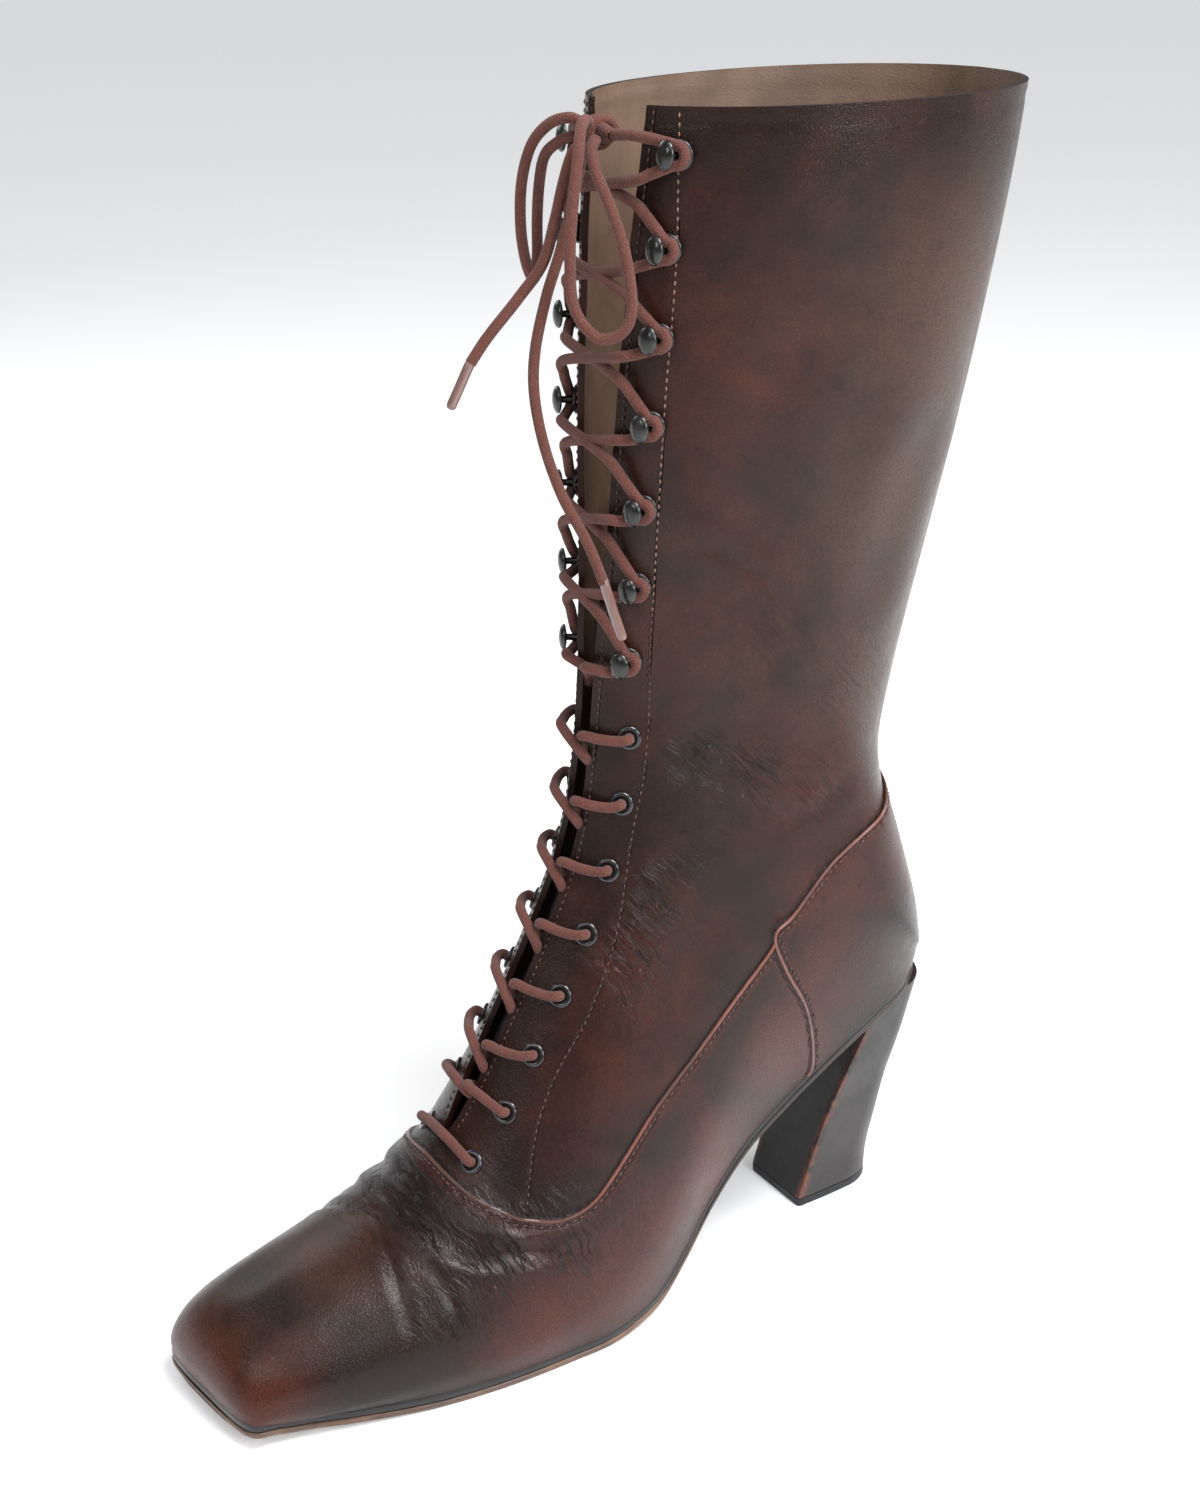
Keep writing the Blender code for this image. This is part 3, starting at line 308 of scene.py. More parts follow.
AGLET_SHORT = ((112.7, -5.3, 289.9), (113.9, -5.7, 287.9), (116.3, -6.8, 282.5), (118.7, -7.9, 277.2))


def table(rows):
    """A table's columns by name; its first row names them."""
    names = rows[0].split()
    return {name: np.array([row[i] for row in rows[1:]], float) for i, name in enumerate(names)}


LAST = table(SECTIONS)
ROWS = len(LAST["belly"])


def smooth(values, at):
    """Catmull-Rom interpolation of a table column at the row number at."""
    last = len(values) - 1
    at = min(max(at, 0.0), float(last))
    i = min(int(at), last - 1)
    t = at - i
    p1, p2 = values[i], values[i + 1]
    p0 = values[i - 1] if i > 0 else 2 * p1 - p2
    p3 = values[i + 2] if i + 2 <= last else 2 * p2 - p1
    return 0.5 * (2 * p1 + (p2 - p0) * t + (2 * p0 - 5 * p1 + 4 * p2 - p3) * t * t
                  + (3 * p1 - p0 - 3 * p2 + p3) * t ** 3)


def through(points, spacing):
    """Points about spacing apart on a smooth curve through the given ones."""
    points = np.array(points, float)
    run = lengths(points)
    count = max(int(round(run[-1] / spacing)) + 1, 3)
    rows = np.interp(np.linspace(0, run[-1], count), run, np.arange(len(points)))
    return np.array([[smooth(points[:, k], at) for k in range(3)] for at in rows])


def lengths(points):
    """The way run along the points up to each of them."""
    return np.concatenate([[0], np.cumsum(np.linalg.norm(np.diff(points, axis=0), axis=1))])


def low_height(share):
    """Height of the underside and back seam: 0 to 1 is the sole to the heel seat, 1 to 2 the shaft."""
    if share <= 1:
        return SOLE_STACK + share * (HEEL_HEIGHT - SOLE_STACK)
    return HEEL_HEIGHT + (share - 1) * SHAFT_HEIGHT


def high_height(share):
    """Height of the ridge: 0 to 1 is the floor to the throat, 1 to 2 the throat to the collar."""
    if share <= 1:
        return share * THROAT_HEIGHT
    return THROAT_HEIGHT + (share - 1) * (COLLAR_HEIGHT - THROAT_HEIGHT)


OUTLINE_LOW = np.linspace(0, 1, 41)
OUTLINE_HIGH = np.sin(np.arange(1, 121) / 120 * math.pi / 2)


def half_section(at, side):
    """Points of one half section from the underside or back seam to the ridge, and its slit."""
    v = {name: smooth(column, at) for name, column in LAST.items()}
    leg = min(max((at - HEEL_ROW) / (ROWS - 1 - HEEL_ROW), 0), 1)
    unit = BALL_WIDTH + leg * (LEG_WIDTH / 1.238 - BALL_WIDTH)
    wide = unit * v["outer" if side > 0 else "inner"]
    foot = 0 if at >= HEEL_ROW else max(BALL_WIDTH * v["foot_out" if side > 0 else "foot_in"], 0)
    open_share = min(foot / (0.26 * BALL_WIDTH), 1)
    closed = (1 - (1 - OUTLINE_LOW) ** v["full"]) ** (1 / 1.9)
    rise = closed + (np.sin(OUTLINE_LOW * math.pi / 2) - closed) * open_share
    e = np.concatenate([v["belly"] * OUTLINE_LOW, v["belly"] + (1 - v["belly"]) * OUTLINE_HIGH])
    top = wide * np.maximum(1 - OUTLINE_HIGH ** v["full"], 0) ** (1 / v["peak"])
    y = side * np.concatenate([foot + (wide - foot) * rise, top])
    low = (v["low_along"] * LENGTH, low_height(v["low_up"]))
    high = (v["high_along"] * LENGTH, high_height(v["high_up"]))
    x = low[0] + (high[0] - low[0]) * e
    z = low[1] + (high[1] - low[1]) * e
    share = np.clip((x - 0.62 * LENGTH) / (0.21 * LENGTH), 0, 1)
    x = x - TOE_SLANT * y * share * share * (3 - 2 * share)
    slit = max(BALL_WIDTH * v["slit"], 0) if at > THROAT_ROW else 0
    return np.stack([x, y, z], 1), slit


def half_curve(at, side, count):
    """count points of a half section, evenly spaced, from the underside to the facing edge."""
    points, slit = half_section(at, side)
    run = lengths(points)
    total = run[-1]
    if slit > 0:
        beyond = np.nonzero(side * points[:, 1] > slit)[0][-1]
        a, b = side * points[beyond, 1], side * points[beyond + 1, 1]
        total = run[beyond] + (run[beyond + 1] - run[beyond]) * (a - slit) / (a - b)
    wanted = np.linspace(0, total, count)
    return np.stack([np.interp(wanted, run, points[:, k]) for k in range(3)], 1)


def surface_point(at, side, inset):
    """The outer surface at arc length inset from the facing edge or ridge."""
    curve = half_curve(at, side, 90)[::-1]
    run = lengths(curve)
    return np.array([np.interp(inset, run, curve[:, k]) for k in range(3)])


def surface_frame(at, side, inset):
    """A place on the outer surface, its normal, the way back from the facing edge and the way up."""
    here = surface_point(at, side, inset)
    across = surface_point(at, side, inset + 0.004) - surface_point(at, side, max(inset - 0.004, 0))
    up = surface_point(min(at + 0.3, ROWS - 1), side, inset) - surface_point(max(at - 0.3, 0), side, inset)
    normal = np.cross(across, up) * side
    normal = normal / np.linalg.norm(normal)
    if normal[0] < 0:
        normal = -normal
    up = up / np.linalg.norm(up)
    across = across - up * (across @ up)
    return here, normal, across / np.linalg.norm(across), up


def ridge_rows(first, spacing, count):
    """Row numbers spaced evenly along the outer facing edge, from row first up."""
    fine = np.linspace(THROAT_ROW + 0.1, ROWS - 1, 200)
    edge = np.array([half_curve(at, 1, 2)[-1] for at in fine])
    run = lengths(edge)
    start = np.interp(first, fine, run)
    return [float(np.interp(start + k * spacing, run, fine)) for k in range(count)]


EYELET_ROWS = ridge_rows(THROAT_ROW + FIRST_EYELET, EYELET_SPACING, EYELETS)
HOOK_ROWS = ridge_rows(EYELET_ROWS[-1], HOOK_SPACING, HOOKS + 1)[1:]


class BootSizes(bpy.types.PropertyGroup):
    lace_width: FloatProperty(name="Lace width", description="Diameter of the round lace", default=0.003,
                              min=0.0015, max=0.005, unit="LENGTH", precision=4)
    aglet_width: FloatProperty(name="Aglet width", description="Diameter of the lace tips", default=0.0028,
                               min=0.0015, max=0.004, unit="LENGTH", precision=4)
    skin_step: FloatProperty(name="Leather mesh step", description="Spacing of the leather's mesh",
                             default=0.0017, min=0.001, max=0.005, unit="LENGTH", precision=4)
    vamp_step: FloatProperty(name="Vamp thickness", description="How far the vamp stands over the quarters",
                             default=0.0008, min=0.0, max=0.002, unit="LENGTH", precision=4)
    counter_step: FloatProperty(name="Counter thickness", description="How far the counter stands proud",
                                default=0.0012, min=0.0, max=0.002, unit="LENGTH", precision=4)
    piping: FloatProperty(name="Edge roll", description="Radius of the folded edge along the seams",
                          default=0.00052, min=0.0002, max=0.001, unit="LENGTH", precision=5)
    stitch: FloatProperty(name="Stitch pitch", description="Distance from one stitch to the next",
                          default=0.0023, min=0.001, max=0.004, unit="LENGTH", precision=4)
    thread: FloatProperty(name="Thread radius", description="Radius of the sewing thread", default=0.0003,
                          min=0.0001, max=0.0006, unit="LENGTH", precision=5)
    grain: FloatProperty(name="Grain size", description="Width of one pebble of the leather's grain",
                         default=0.0011, min=0.0004, max=0.003, unit="LENGTH", precision=5)


def colour_property(name, description, default):
    """A colour that a user may change."""
    return FloatVectorProperty(name=name, description=description, default=default, size=3, min=0, max=1,
                               subtype="COLOR")


class BootColours(bpy.types.PropertyGroup):
    leather: colour_property("Leather", "Dark ground colour of the leather", (0.0140, 0.0056, 0.0040))
    oxblood: colour_property("Burnish", "Red brown of the burnished leather", (0.098, 0.022, 0.012))
    tan: colour_property("Light leather", "Lighter worn brown of the leather", (0.080, 0.038, 0.021))
    edge: colour_property("Folded edge", "Colour of the folded seam edges", (0.17, 0.052, 0.031))
    thread: colour_property("Thread", "Colour of the sewing thread", (0.115, 0.050, 0.032))
    lining: colour_property("Lining", "Colour of the leather lining", (0.16, 0.095, 0.06))
    lace: colour_property("Lace", "Colour of the lace", (0.130, 0.046, 0.033))
    aglet: colour_property("Aglet", "Colour of the clear lace tips", (0.20, 0.12, 0.10))
    sole: colour_property("Sole edge", "Colour of the outsole's edge", (0.135, 0.072, 0.042))
    heel: colour_property("Heel cover", "Colour of the covered heel", (0.022, 0.0165, 0.0150))
    metal: colour_property("Hardware", "Colour of the eyelets and hooks", (0.022, 0.021, 0.022))
    floor: colour_property("Floor", "Colour of the studio floor", (0.90, 0.90, 0.905))


def sizes():
    """The scene's sizes of the boot."""
    return bpy.context.scene.boot_sizes


def colour(name):
    """One of the scene's colours of the boot, with full cover."""
    return (*getattr(bpy.context.scene.boot_colours, name), 1.0)


def node(tree, kind, settings=None, **inputs):
    """A shader node with its settings, and its inputs given as values or as sockets to link."""
    made = tree.nodes.new(kind)
    for key, value in (settings or {}).items():
        setattr(made, key, value)
    for key, value in inputs.items():
        name = key.replace("_", " ")
        socket = made.inputs[int(key[1:])] if key[0] == "i" and key[1:].isdigit() else made.inputs[name]
        if isinstance(value, bpy.types.NodeSocket):
            tree.links.new(value, socket)
        else:
            socket.default_value = value
    return made


def mix(tree, factor, a, b):
    """Colour a turned into b by a factor."""
    made = node(tree, "ShaderNodeMix", {"data_type": "RGBA", "blend_type": "MIX"}, i0=factor, i6=a, i7=b)
    return made.outputs[2]


def calc(tree, operation, a, b=0.0):
    """One sum of two values."""
    made = node(tree, "ShaderNodeMath", {"operation": operation}, i0=a, i1=b)
    return made.outputs[0]


def span(tree, value, low, high, to_low=0.0, to_high=1.0):
    """A value's way from low to high, turned smoothly into that from to_low to to_high."""
    made = node(tree, "ShaderNodeMapRange", {"interpolation_type": "SMOOTHSTEP"}, Value=value,
                From_Min=low, From_Max=high, To_Min=to_low, To_Max=to_high)
    return made.outputs[0]


def noise(tree, vector, scale, detail=3.0, roughness=0.55, distortion=0.0):
    """Cloudy noise; scale is in waves a metre where the vector is in metres."""
    made = node(tree, "ShaderNodeTexNoise", None, Vector=vector, Scale=scale, Detail=detail,
                Roughness=roughness, Distortion=distortion)
    return made.outputs[0]


def cells(tree, vector, scale, feature="F1"):
    """Distance from the middles, or the edges, of random cells."""
    made = node(tree, "ShaderNodeTexVoronoi", {"feature": feature}, Vector=vector, Scale=scale,
                Randomness=1.0)
    return made.outputs["Distance"]


def scaled(tree, vector, scale, rotation=(0, 0, 0)):
    """A vector scaled along each axis, and turned."""
    return node(tree, "ShaderNodeMapping", None, Vector=vector, Scale=scale, Rotation=rotation).outputs[0]


def attribute(tree, name):
    """A value that the mesh holds at each vertex."""
    return node(tree, "ShaderNodeAttribute", {"attribute_name": name}).outputs["Fac"]


def bump(tree, height, strength, distance, normal=None):
    """A normal tipped by a height, on top of another normal if one is given."""
    made = node(tree, "ShaderNodeBump", None, Height=height, Strength=strength, Distance=distance)
    if normal is not None:
        tree.links.new(normal, made.inputs["Normal"])
    return made.outputs[0]


def surface(name, roughness=0.5, metallic=0.0, coat=0.0, coat_roughness=0.1, specular=0.5, sheen=0.0):
    """A new material, its node tree, its shader and its object coordinates."""
    material = bpy.data.materials.new(name)
    material.use_nodes = True
    tree = material.node_tree
    shader = tree.nodes["Principled BSDF"]
    shader.inputs["Roughness"].default_value = roughness
    shader.inputs["Metallic"].default_value = metallic
    shader.inputs["Coat Weight"].default_value = coat
    shader.inputs["Coat Roughness"].default_value = coat_roughness
    shader.inputs["Specular IOR Level"].default_value = specular
    shader.inputs["Sheen Weight"].default_value = sheen
    where = node(tree, "ShaderNodeTexCoord").outputs["Object"]
    return material, tree, shader, where


def finish_shader(tree, shader, base, roughness=None, normal=None):
    """Links the colour, the roughness and the normal to the shader, the normal to its coat too."""
    tree.links.new(base, shader.inputs["Base Color"])
    if roughness is not None:
        tree.links.new(roughness, shader.inputs["Roughness"])
    if normal is not None:
        tree.links.new(normal, shader.inputs["Normal"])
        tree.links.new(normal, shader.inputs["Coat Normal"])


def leather_material():
    """Burnished glossy leather: patchy red brown on near black, pebbled grain and fine wrinkles."""
    material, tree, shader, where = surface("burnished_leather", coat=0.42, coat_roughness=0.16,
                                            specular=0.05)
    shader.inputs["Specular Tint"].default_value = (1.0, 0.62, 0.46, 1)
    grain = sizes().grain
    broad = noise(tree, where, 26, 3, 0.6, 0.4)
    middle = noise(tree, where, 90, 3, 0.6)
    fine = noise(tree, where, 420, 2, 0.6)
    patch = calc(tree, "SUBTRACT", broad, 0.5)
    burnish = calc(tree, "ADD", attribute(tree, "burnish"), calc(tree, "MULTIPLY", patch, 1.5))
    burnish = calc(tree, "ADD", burnish, calc(tree, "MULTIPLY", calc(tree, "SUBTRACT", middle, 0.5), 0.7))
    burnish = span(tree, burnish, -0.15, 1.05)
    worn = calc(tree, "ADD", attribute(tree, "tan"), calc(tree, "MULTIPLY", patch, -0.9))
    worn = calc(tree, "ADD", worn, calc(tree, "MULTIPLY", calc(tree, "SUBTRACT", middle, 0.5), 0.5))
    worn = span(tree, worn, -0.1, 1.2)
    base = mix(tree, calc(tree, "MULTIPLY", burnish, 0.78), colour("leather"), colour("oxblood"))
    base = mix(tree, calc(tree, "MULTIPLY", worn, 0.75), base, colour("tan"))
    # Painted shade: the shade areas turn the leather towards near black round the folds, under the seams, low
    # on the sides and over the counter.
    shade = span(tree, attribute(tree, "shade"), 0.0, 1.0)
    base = mix(tree, calc(tree, "MULTIPLY", shade, 0.72), base, (0.012, 0.010, 0.011, 1))
    vamp = attribute(tree, "vamp_d")
    counter = attribute(tree, "counter_d")
    for seam in (vamp, counter):
        # Painted shadow: near black along the under piece just outside each overlay's edge, where the raised
        # edge casts shade.
        gap = calc(tree, "MULTIPLY", span(tree, seam, -2.2, -0.3), span(tree, seam, 0.1, 0.6, 1.0, 0.0))
        base = mix(tree, calc(tree, "MULTIPLY", gap, 0.85), base, (0.006, 0.005, 0.005, 1))
        rub = calc(tree, "MULTIPLY", span(tree, seam, 0.3, 0.9), span(tree, seam, 2.0, 5.0, 1.0, 0.0))
        base = mix(tree, calc(tree, "MULTIPLY", rub, 0.28), base, colour("oxblood"))
    sewn = attribute(tree, "stitch_d")
    channel = span(tree, sewn, 0.2, 0.75, 1.0, 0.0)
    base = mix(tree, calc(tree, "MULTIPLY", channel, 0.7), base, (0.010, 0.007, 0.006, 1))
    shaken = noise(tree, where, 1.4 / grain, 2, 0.6)
    shaken = node(tree, "ShaderNodeCombineXYZ", None, X=shaken, Y=shaken, Z=shaken).outputs[0]
    drift = node(tree, "ShaderNodeVectorMath", {"operation": "ADD"}, i0=where, i1=scaled(
        tree, shaken, (grain * 0.9, grain * 0.7, -grain * 0.8))).outputs[0]
    pebble = span(tree, cells(tree, drift, 1 / grain, "DISTANCE_TO_EDGE"), 0.0, 0.24)
    small = span(tree, cells(tree, drift, 2.4 / grain, "DISTANCE_TO_EDGE"), 0.0, 0.3)
    pits = calc(tree, "ADD", calc(tree, "MULTIPLY", pebble, 0.65), calc(tree, "MULTIPLY", small, 0.35))
    base = mix(tree, span(tree, pits, 0.1, 0.9, 0.42, 0.0), base, (0.006, 0.005, 0.005, 1))
    scratch = noise(tree, scaled(tree, where, (900, 140, 260), (0.3, 0.6, 0.2)), 1.0, 2, 0.5)
    scratch = calc(tree, "MULTIPLY", span(tree, scratch, 0.72, 0.78), attribute(tree, "wrinkle"))
    base = mix(tree, calc(tree, "MULTIPLY", scratch, 0.5), base, (0.20, 0.13, 0.10, 1))
    skin = node(tree, "ShaderNodeUVMap", {"uv_map": "skin"}).outputs[0]
    bend = noise(tree, scaled(tree, skin, (90, 90, 1)), 1.0, 2, 0.5)
    bend = node(tree, "ShaderNodeCombineXYZ", None, X=bend, Y=bend).outputs[0]
    bend = scaled(tree, bend, (0.006, 0.004, 0))
    wavy = node(tree, "ShaderNodeVectorMath", {"operation": "ADD"}, i0=skin, i1=bend).outputs[0]
    ripple = noise(tree, scaled(tree, wavy, (640, 80, 1)), 1.0, 3, 0.6, 0.6)
    lines = span(tree, ripple, 0.38, 0.50)
    wrinkle = attribute(tree, "wrinkle")
    creased = calc(tree, "MULTIPLY", wrinkle, 0.85)
    creased = calc(tree, "MULTIPLY", calc(tree, "SUBTRACT", 1.0, lines), creased)
    base = mix(tree, creased, base, (0.008, 0.007, 0.007, 1))
    deep = bump(tree, lines, wrinkle, 0.0006)
    groove = bump(tree, calc(tree, "SUBTRACT", 1.0, channel), 0.8, 0.0004, deep)
    normal = bump(tree, pits, 0.4, 0.00012, groove)
    normal = bump(tree, fine, 0.1, 0.0001, normal)
    rough = span(tree, middle, 0.3, 0.7, 0.27, 0.43)
    rough = calc(tree, "ADD", rough, calc(tree, "MULTIPLY", wrinkle, 0.06))
    finish_shader(tree, shader, base, rough, normal)
    return material


def plain_leather(name, tint, roughness, grain_scale, coat=0.0, depth=0.3, wear=None):
    """Smooth leather with slight clouds and a fine grain; wear names an attribute of rubbed places."""
    material, tree, shader, where = surface(name, coat=coat, coat_roughness=0.25)
    cloud = noise(tree, where, 60, 4, 0.6)
    base = mix(tree, span(tree, cloud, 0.3, 0.7, 0.0, 0.55), tint, tuple(c * 0.45 for c in tint[:3]) + (1,))
    if wear:
        patches = span(tree, noise(tree, where, 240, 3), 0.35, 0.6)
        rubbed = calc(tree, "MULTIPLY", attribute(tree, wear), patches)
        base = mix(tree, calc(tree, "MULTIPLY", rubbed, 0.85), base, (0.15, 0.045, 0.025, 1))
    pits = cells(tree, where, grain_scale)
    normal = bump(tree, pits, depth, 0.0002)
    rough = span(tree, cloud, 0.3, 0.7, roughness - 0.06, roughness + 0.08)
    finish_shader(tree, shader, base, rough, normal)
    return material


def edge_material():
    """The folded red-brown edge along the seams, darker in places."""
    material, tree, shader, where = surface("folded_edge", coat=0.3, coat_roughness=0.2)
    cloud = noise(tree, where, 45, 2, 0.5)
    base = mix(tree, span(tree, cloud, 0.35, 0.62, 0.0, 0.85), colour("edge"), (0.050, 0.020, 0.014, 1))
    speck = noise(tree, where, 900, 2, 0.5)
    base = mix(tree, span(tree, speck, 0.5, 0.75, 0.0, 0.4), base, (0.03, 0.014, 0.011, 1))
    finish_shader(tree, shader, base, span(tree, cloud, 0.3, 0.7, 0.3, 0.45), bump(tree, speck, 0.3, 0.0002))
    return material


def thread_material(name, tint):
    """Twisted sewing thread."""
    material, tree, shader, where = surface(name, roughness=0.6)
    twist = noise(tree, where, 2600, 2, 0.5)
    base = mix(tree, span(tree, twist, 0.3, 0.7), tint, tuple(c * 0.4 for c in tint[:3]) + (1,))
    finish_shader(tree, shader, base, None, bump(tree, twist, 0.4, 0.0001))
    return material


def lace_material():
    """Round felted cotton lace: a faint braid along it and fine fuzz."""
    material, tree, shader, where = surface("felted_lace", roughness=0.9, specular=0.18, sheen=0.12)
    run = node(tree, "ShaderNodeUVMap", {"uv_map": "run"}).outputs[0]
    one = node(tree, "ShaderNodeTexWave", {"wave_type": "BANDS", "bands_direction": "DIAGONAL"},
               Vector=scaled(tree, run, (620, 620, 1)), Scale=1.0, Distortion=0.6, Detail=1.0).outputs[1]
    two = node(tree, "ShaderNodeTexWave", {"wave_type": "BANDS", "bands_direction": "DIAGONAL"},
               Vector=scaled(tree, run, (-620, 620, 1)), Scale=1.0, Distortion=0.6, Detail=1.0).outputs[1]
    braid = calc(tree, "MAXIMUM", one, two)
    fuzz = noise(tree, where, 1900, 3, 0.7)
    cloud = noise(tree, where, 130, 3, 0.6)
    base = mix(tree, span(tree, cloud, 0.3, 0.7, 0.0, 0.45), colour("lace"), (0.095, 0.034, 0.026, 1))
    # Painted highlight: light flecks where the fuzz would catch the light.
    base = mix(tree, span(tree, fuzz, 0.52, 0.75, 0.0, 0.5), base, (0.27, 0.12, 0.092, 1))
    # Painted shade: darker between the braid's strands.
    base = mix(tree, span(tree, braid, 0.1, 0.6, 0.5, 0.0), base, (0.075, 0.020, 0.014, 1))
    normal = bump(tree, braid, 0.5, 0.0003)
    normal = bump(tree, fuzz, 0.8, 0.0004, normal)
    finish_shader(tree, shader, base, None, normal)
    return material


def metal_material(name, tint, metallic, roughness, coat=0.0):
    """Enamelled or gunmetal hardware with light rubbing."""
    material, tree, shader, where = surface(name, metallic=metallic, coat=coat, coat_roughness=0.06)
    cloud = noise(tree, where, 380, 3, 0.6)
    rubbed = tuple(min(c * 3.2, 1) for c in tint[:3]) + (1,)
    base = mix(tree, span(tree, cloud, 0.45, 0.75, 0.0, 0.5), tint, rubbed)
    finish_shader(tree, shader, base, span(tree, cloud, 0.3, 0.7, roughness, roughness + 0.14),
                  bump(tree, noise(tree, where, 1500, 2), 0.08, 0.0001))
    return material


def sole_material():
    """Leather sole edge: tan brown, streaked along its layers and darker underneath."""
    material, tree, shader, where = surface("sole_leather", roughness=0.55, coat=0.08)
    streak = noise(tree, scaled(tree, where, (60, 60, 1500)), 1.0, 4, 0.65)
    cloud = noise(tree, where, 70, 4, 0.6)
    base = mix(tree, span(tree, streak, 0.3, 0.75), colour("sole"), (0.045, 0.022, 0.014, 1))
    base = mix(tree, span(tree, cloud, 0.42, 0.62, 0.0, 0.5), base, (0.23, 0.125, 0.07, 1))
    along = node(tree, "ShaderNodeSeparateXYZ", None, Vector=where).outputs[0]
    base = mix(tree, span(tree, along, 0.05, 0.095, 0.9, 0.0), base, (0.014, 0.009, 0.008, 1))
    worn = span(tree, noise(tree, where, 420, 3, 0.7), 0.56, 0.72, 0.0, 0.4)
    base = mix(tree, worn, base, (0.02, 0.014, 0.012, 1))
    finish_shader(tree, shader, base, span(tree, cloud, 0.3, 0.7, 0.42, 0.62),
                  bump(tree, streak, 0.4, 0.0003))
    return material


def aglet_material():
    """Clear film wound on the lace's end."""
    material, tree, shader, where = surface("aglet_film", roughness=0.18, coat=0.7, coat_roughness=0.05)
    streak = noise(tree, scaled(tree, where, (400, 400, 60)), 1.0, 2, 0.5)
    base = mix(tree, span(tree, streak, 0.3, 0.7), colour("aglet"), (0.16, 0.085, 0.07, 1))
    finish_shader(tree, shader, base, None, bump(tree, streak, 0.15, 0.0002))
    return material


MATERIALS = {}


def material(name):
    """The boot's materials, each made the first time it is asked for."""
    makers = {
        "leather": leather_material,
        "edge": edge_material,
        "lace": lace_material,
        "sole": sole_material,
        "aglet": aglet_material,
        "lining": lambda: plain_leather("lining_leather", colour("lining"), 0.6, 1300),
        "tongue": lambda: plain_leather("tongue_leather", (0.030, 0.031, 0.038, 1), 0.24, 900, 0.8),
        "rand": lambda: plain_leather("black_rand", (0.004, 0.0035, 0.004, 1), 0.36, 700, 0.06),
        "sock": lambda: plain_leather("insole_sock", (0.19, 0.115, 0.07, 1), 0.55, 1100),
        "heel": lambda: plain_leather("heel_cover", colour("heel"), 0.46, 800, 0.1, 0.15, "edge"),
        # Painted shade: the breast takes a darker copy of the heel cover, as it faces forward under the arch.
        "breast": lambda: plain_leather("heel_breast", (0.006, 0.005, 0.006, 1), 0.5, 800, 0.05, 0.15,
                                        "edge"),
        "lift": lambda: plain_leather("top_lift_rubber", (0.006, 0.006, 0.007, 1), 0.55, 1600),
        "thread": lambda: thread_material("sewing_thread", colour("thread")),
        "light_thread": lambda: thread_material("light_thread", (0.26, 0.14, 0.095, 1)),
        "enamel": lambda: metal_material("eyelet_enamel", colour("metal"), 0.55, 0.12, 0.6),
        "gunmetal": lambda: metal_material("hook_gunmetal", (0.022, 0.0215, 0.020, 1), 0.6, 0.2, 0.45),
        # Painted shade: near black standing for the dark inside of the eyelets' bores.
        "hole": lambda: plain_leather("eyelet_bore", (0.004, 0.003, 0.003, 1), 0.8, 900),
    }
    if name not in MATERIALS:
        MATERIALS[name] = makers[name]()
    return MATERIALS[name]


def add_piece(name, bm, materials, replaced=(), angle=45):
    """Turns bm into a finished piece that rides on the boot."""
    mesh = bpy.data.meshes.new(name)
    bm.to_mesh(mesh)
    bm.free()
    obj = bpy.data.objects.new(name, mesh)
    bpy.context.scene.collection.objects.link(obj)
    for each in materials:
        mesh.materials.append(material(each))
    mesh.shade_smooth()
    if angle:
        mesh.set_sharp_from_angle(angle=math.radians(angle))
    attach(obj, "root")
    if replaced:
        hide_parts(*replaced)
    return obj


def face_out(bm):
    """Merges doubles and turns a closed mesh's faces outwards."""
    bmesh.ops.remove_doubles(bm, verts=bm.verts, dist=1e-6)
    bmesh.ops.recalc_face_normals(bm, faces=bm.faces)
    if bm.calc_volume(signed=True) < 0:
        bmesh.ops.reverse_faces(bm, faces=bm.faces)
    return bm


def grid(bm, columns, rows):
    """A flat grid and its vertices as rows of columns."""
    made = bmesh.ops.create_grid(bm, x_segments=columns, y_segments=rows, size=1)["verts"]
    made = sorted(made, key=lambda v: (round(v.co.y, 6), round(v.co.x, 6)))
    return [made[k * (columns + 1):(k + 1) * (columns + 1)] for k in range(rows + 1)]


def tube(bm, points, radius, sides=12):
    """A closed round tube along points, bent from a grid, with its own length and girth as UV map run."""
    run_map = bm.loops.layers.uv.get("run") or bm.loops.layers.uv.new("run")
    points = [Vector(p) for p in points]
    count = len(points)
    tangents = []
    for k in range(count):
        tangents.append((points[min(k + 1, count - 1)] - points[max(k - 1, 0)]).normalized())
    across = tangents[0].orthogonal().normalized()
    rows = grid(bm, sides, count - 1)
    travelled = 0.0
    spot = {}
    for k, row in enumerate(rows):
        if k:
            across = tangents[k - 1].rotation_difference(tangents[k]) @ across
            travelled += (points[k] - points[k - 1]).length
        other = tangents[k].cross(across)
        size = radius * 0.72 if k in (0, count - 1) else radius
        for s, vert in enumerate(row):
            a = 2 * math.pi * s / sides
            vert.co = points[k] + size * (math.cos(a) * across + math.sin(a) * other)
            spot[vert] = (travelled, s / sides * math.tau * 0.0015)
    for face in {face for row in rows for vert in row for face in vert.link_faces}:
        for loop in face.loops:
            loop[run_map].uv = spot[loop.vert]
    ends = []
    for row in (rows[0], rows[-1]):
        ends.append([edge for vert in row for edge in vert.link_edges if edge.other_vert(vert) in row])
    bmesh.ops.remove_doubles(bm, verts=[v for row in rows for v in (row[0], row[-1])], dist=1e-7)
    for edges in ends:
        edges = list({edge for edge in edges if edge.is_valid})
        bmesh.ops.edgeloop_fill(bm, edges=edges)
    return bm


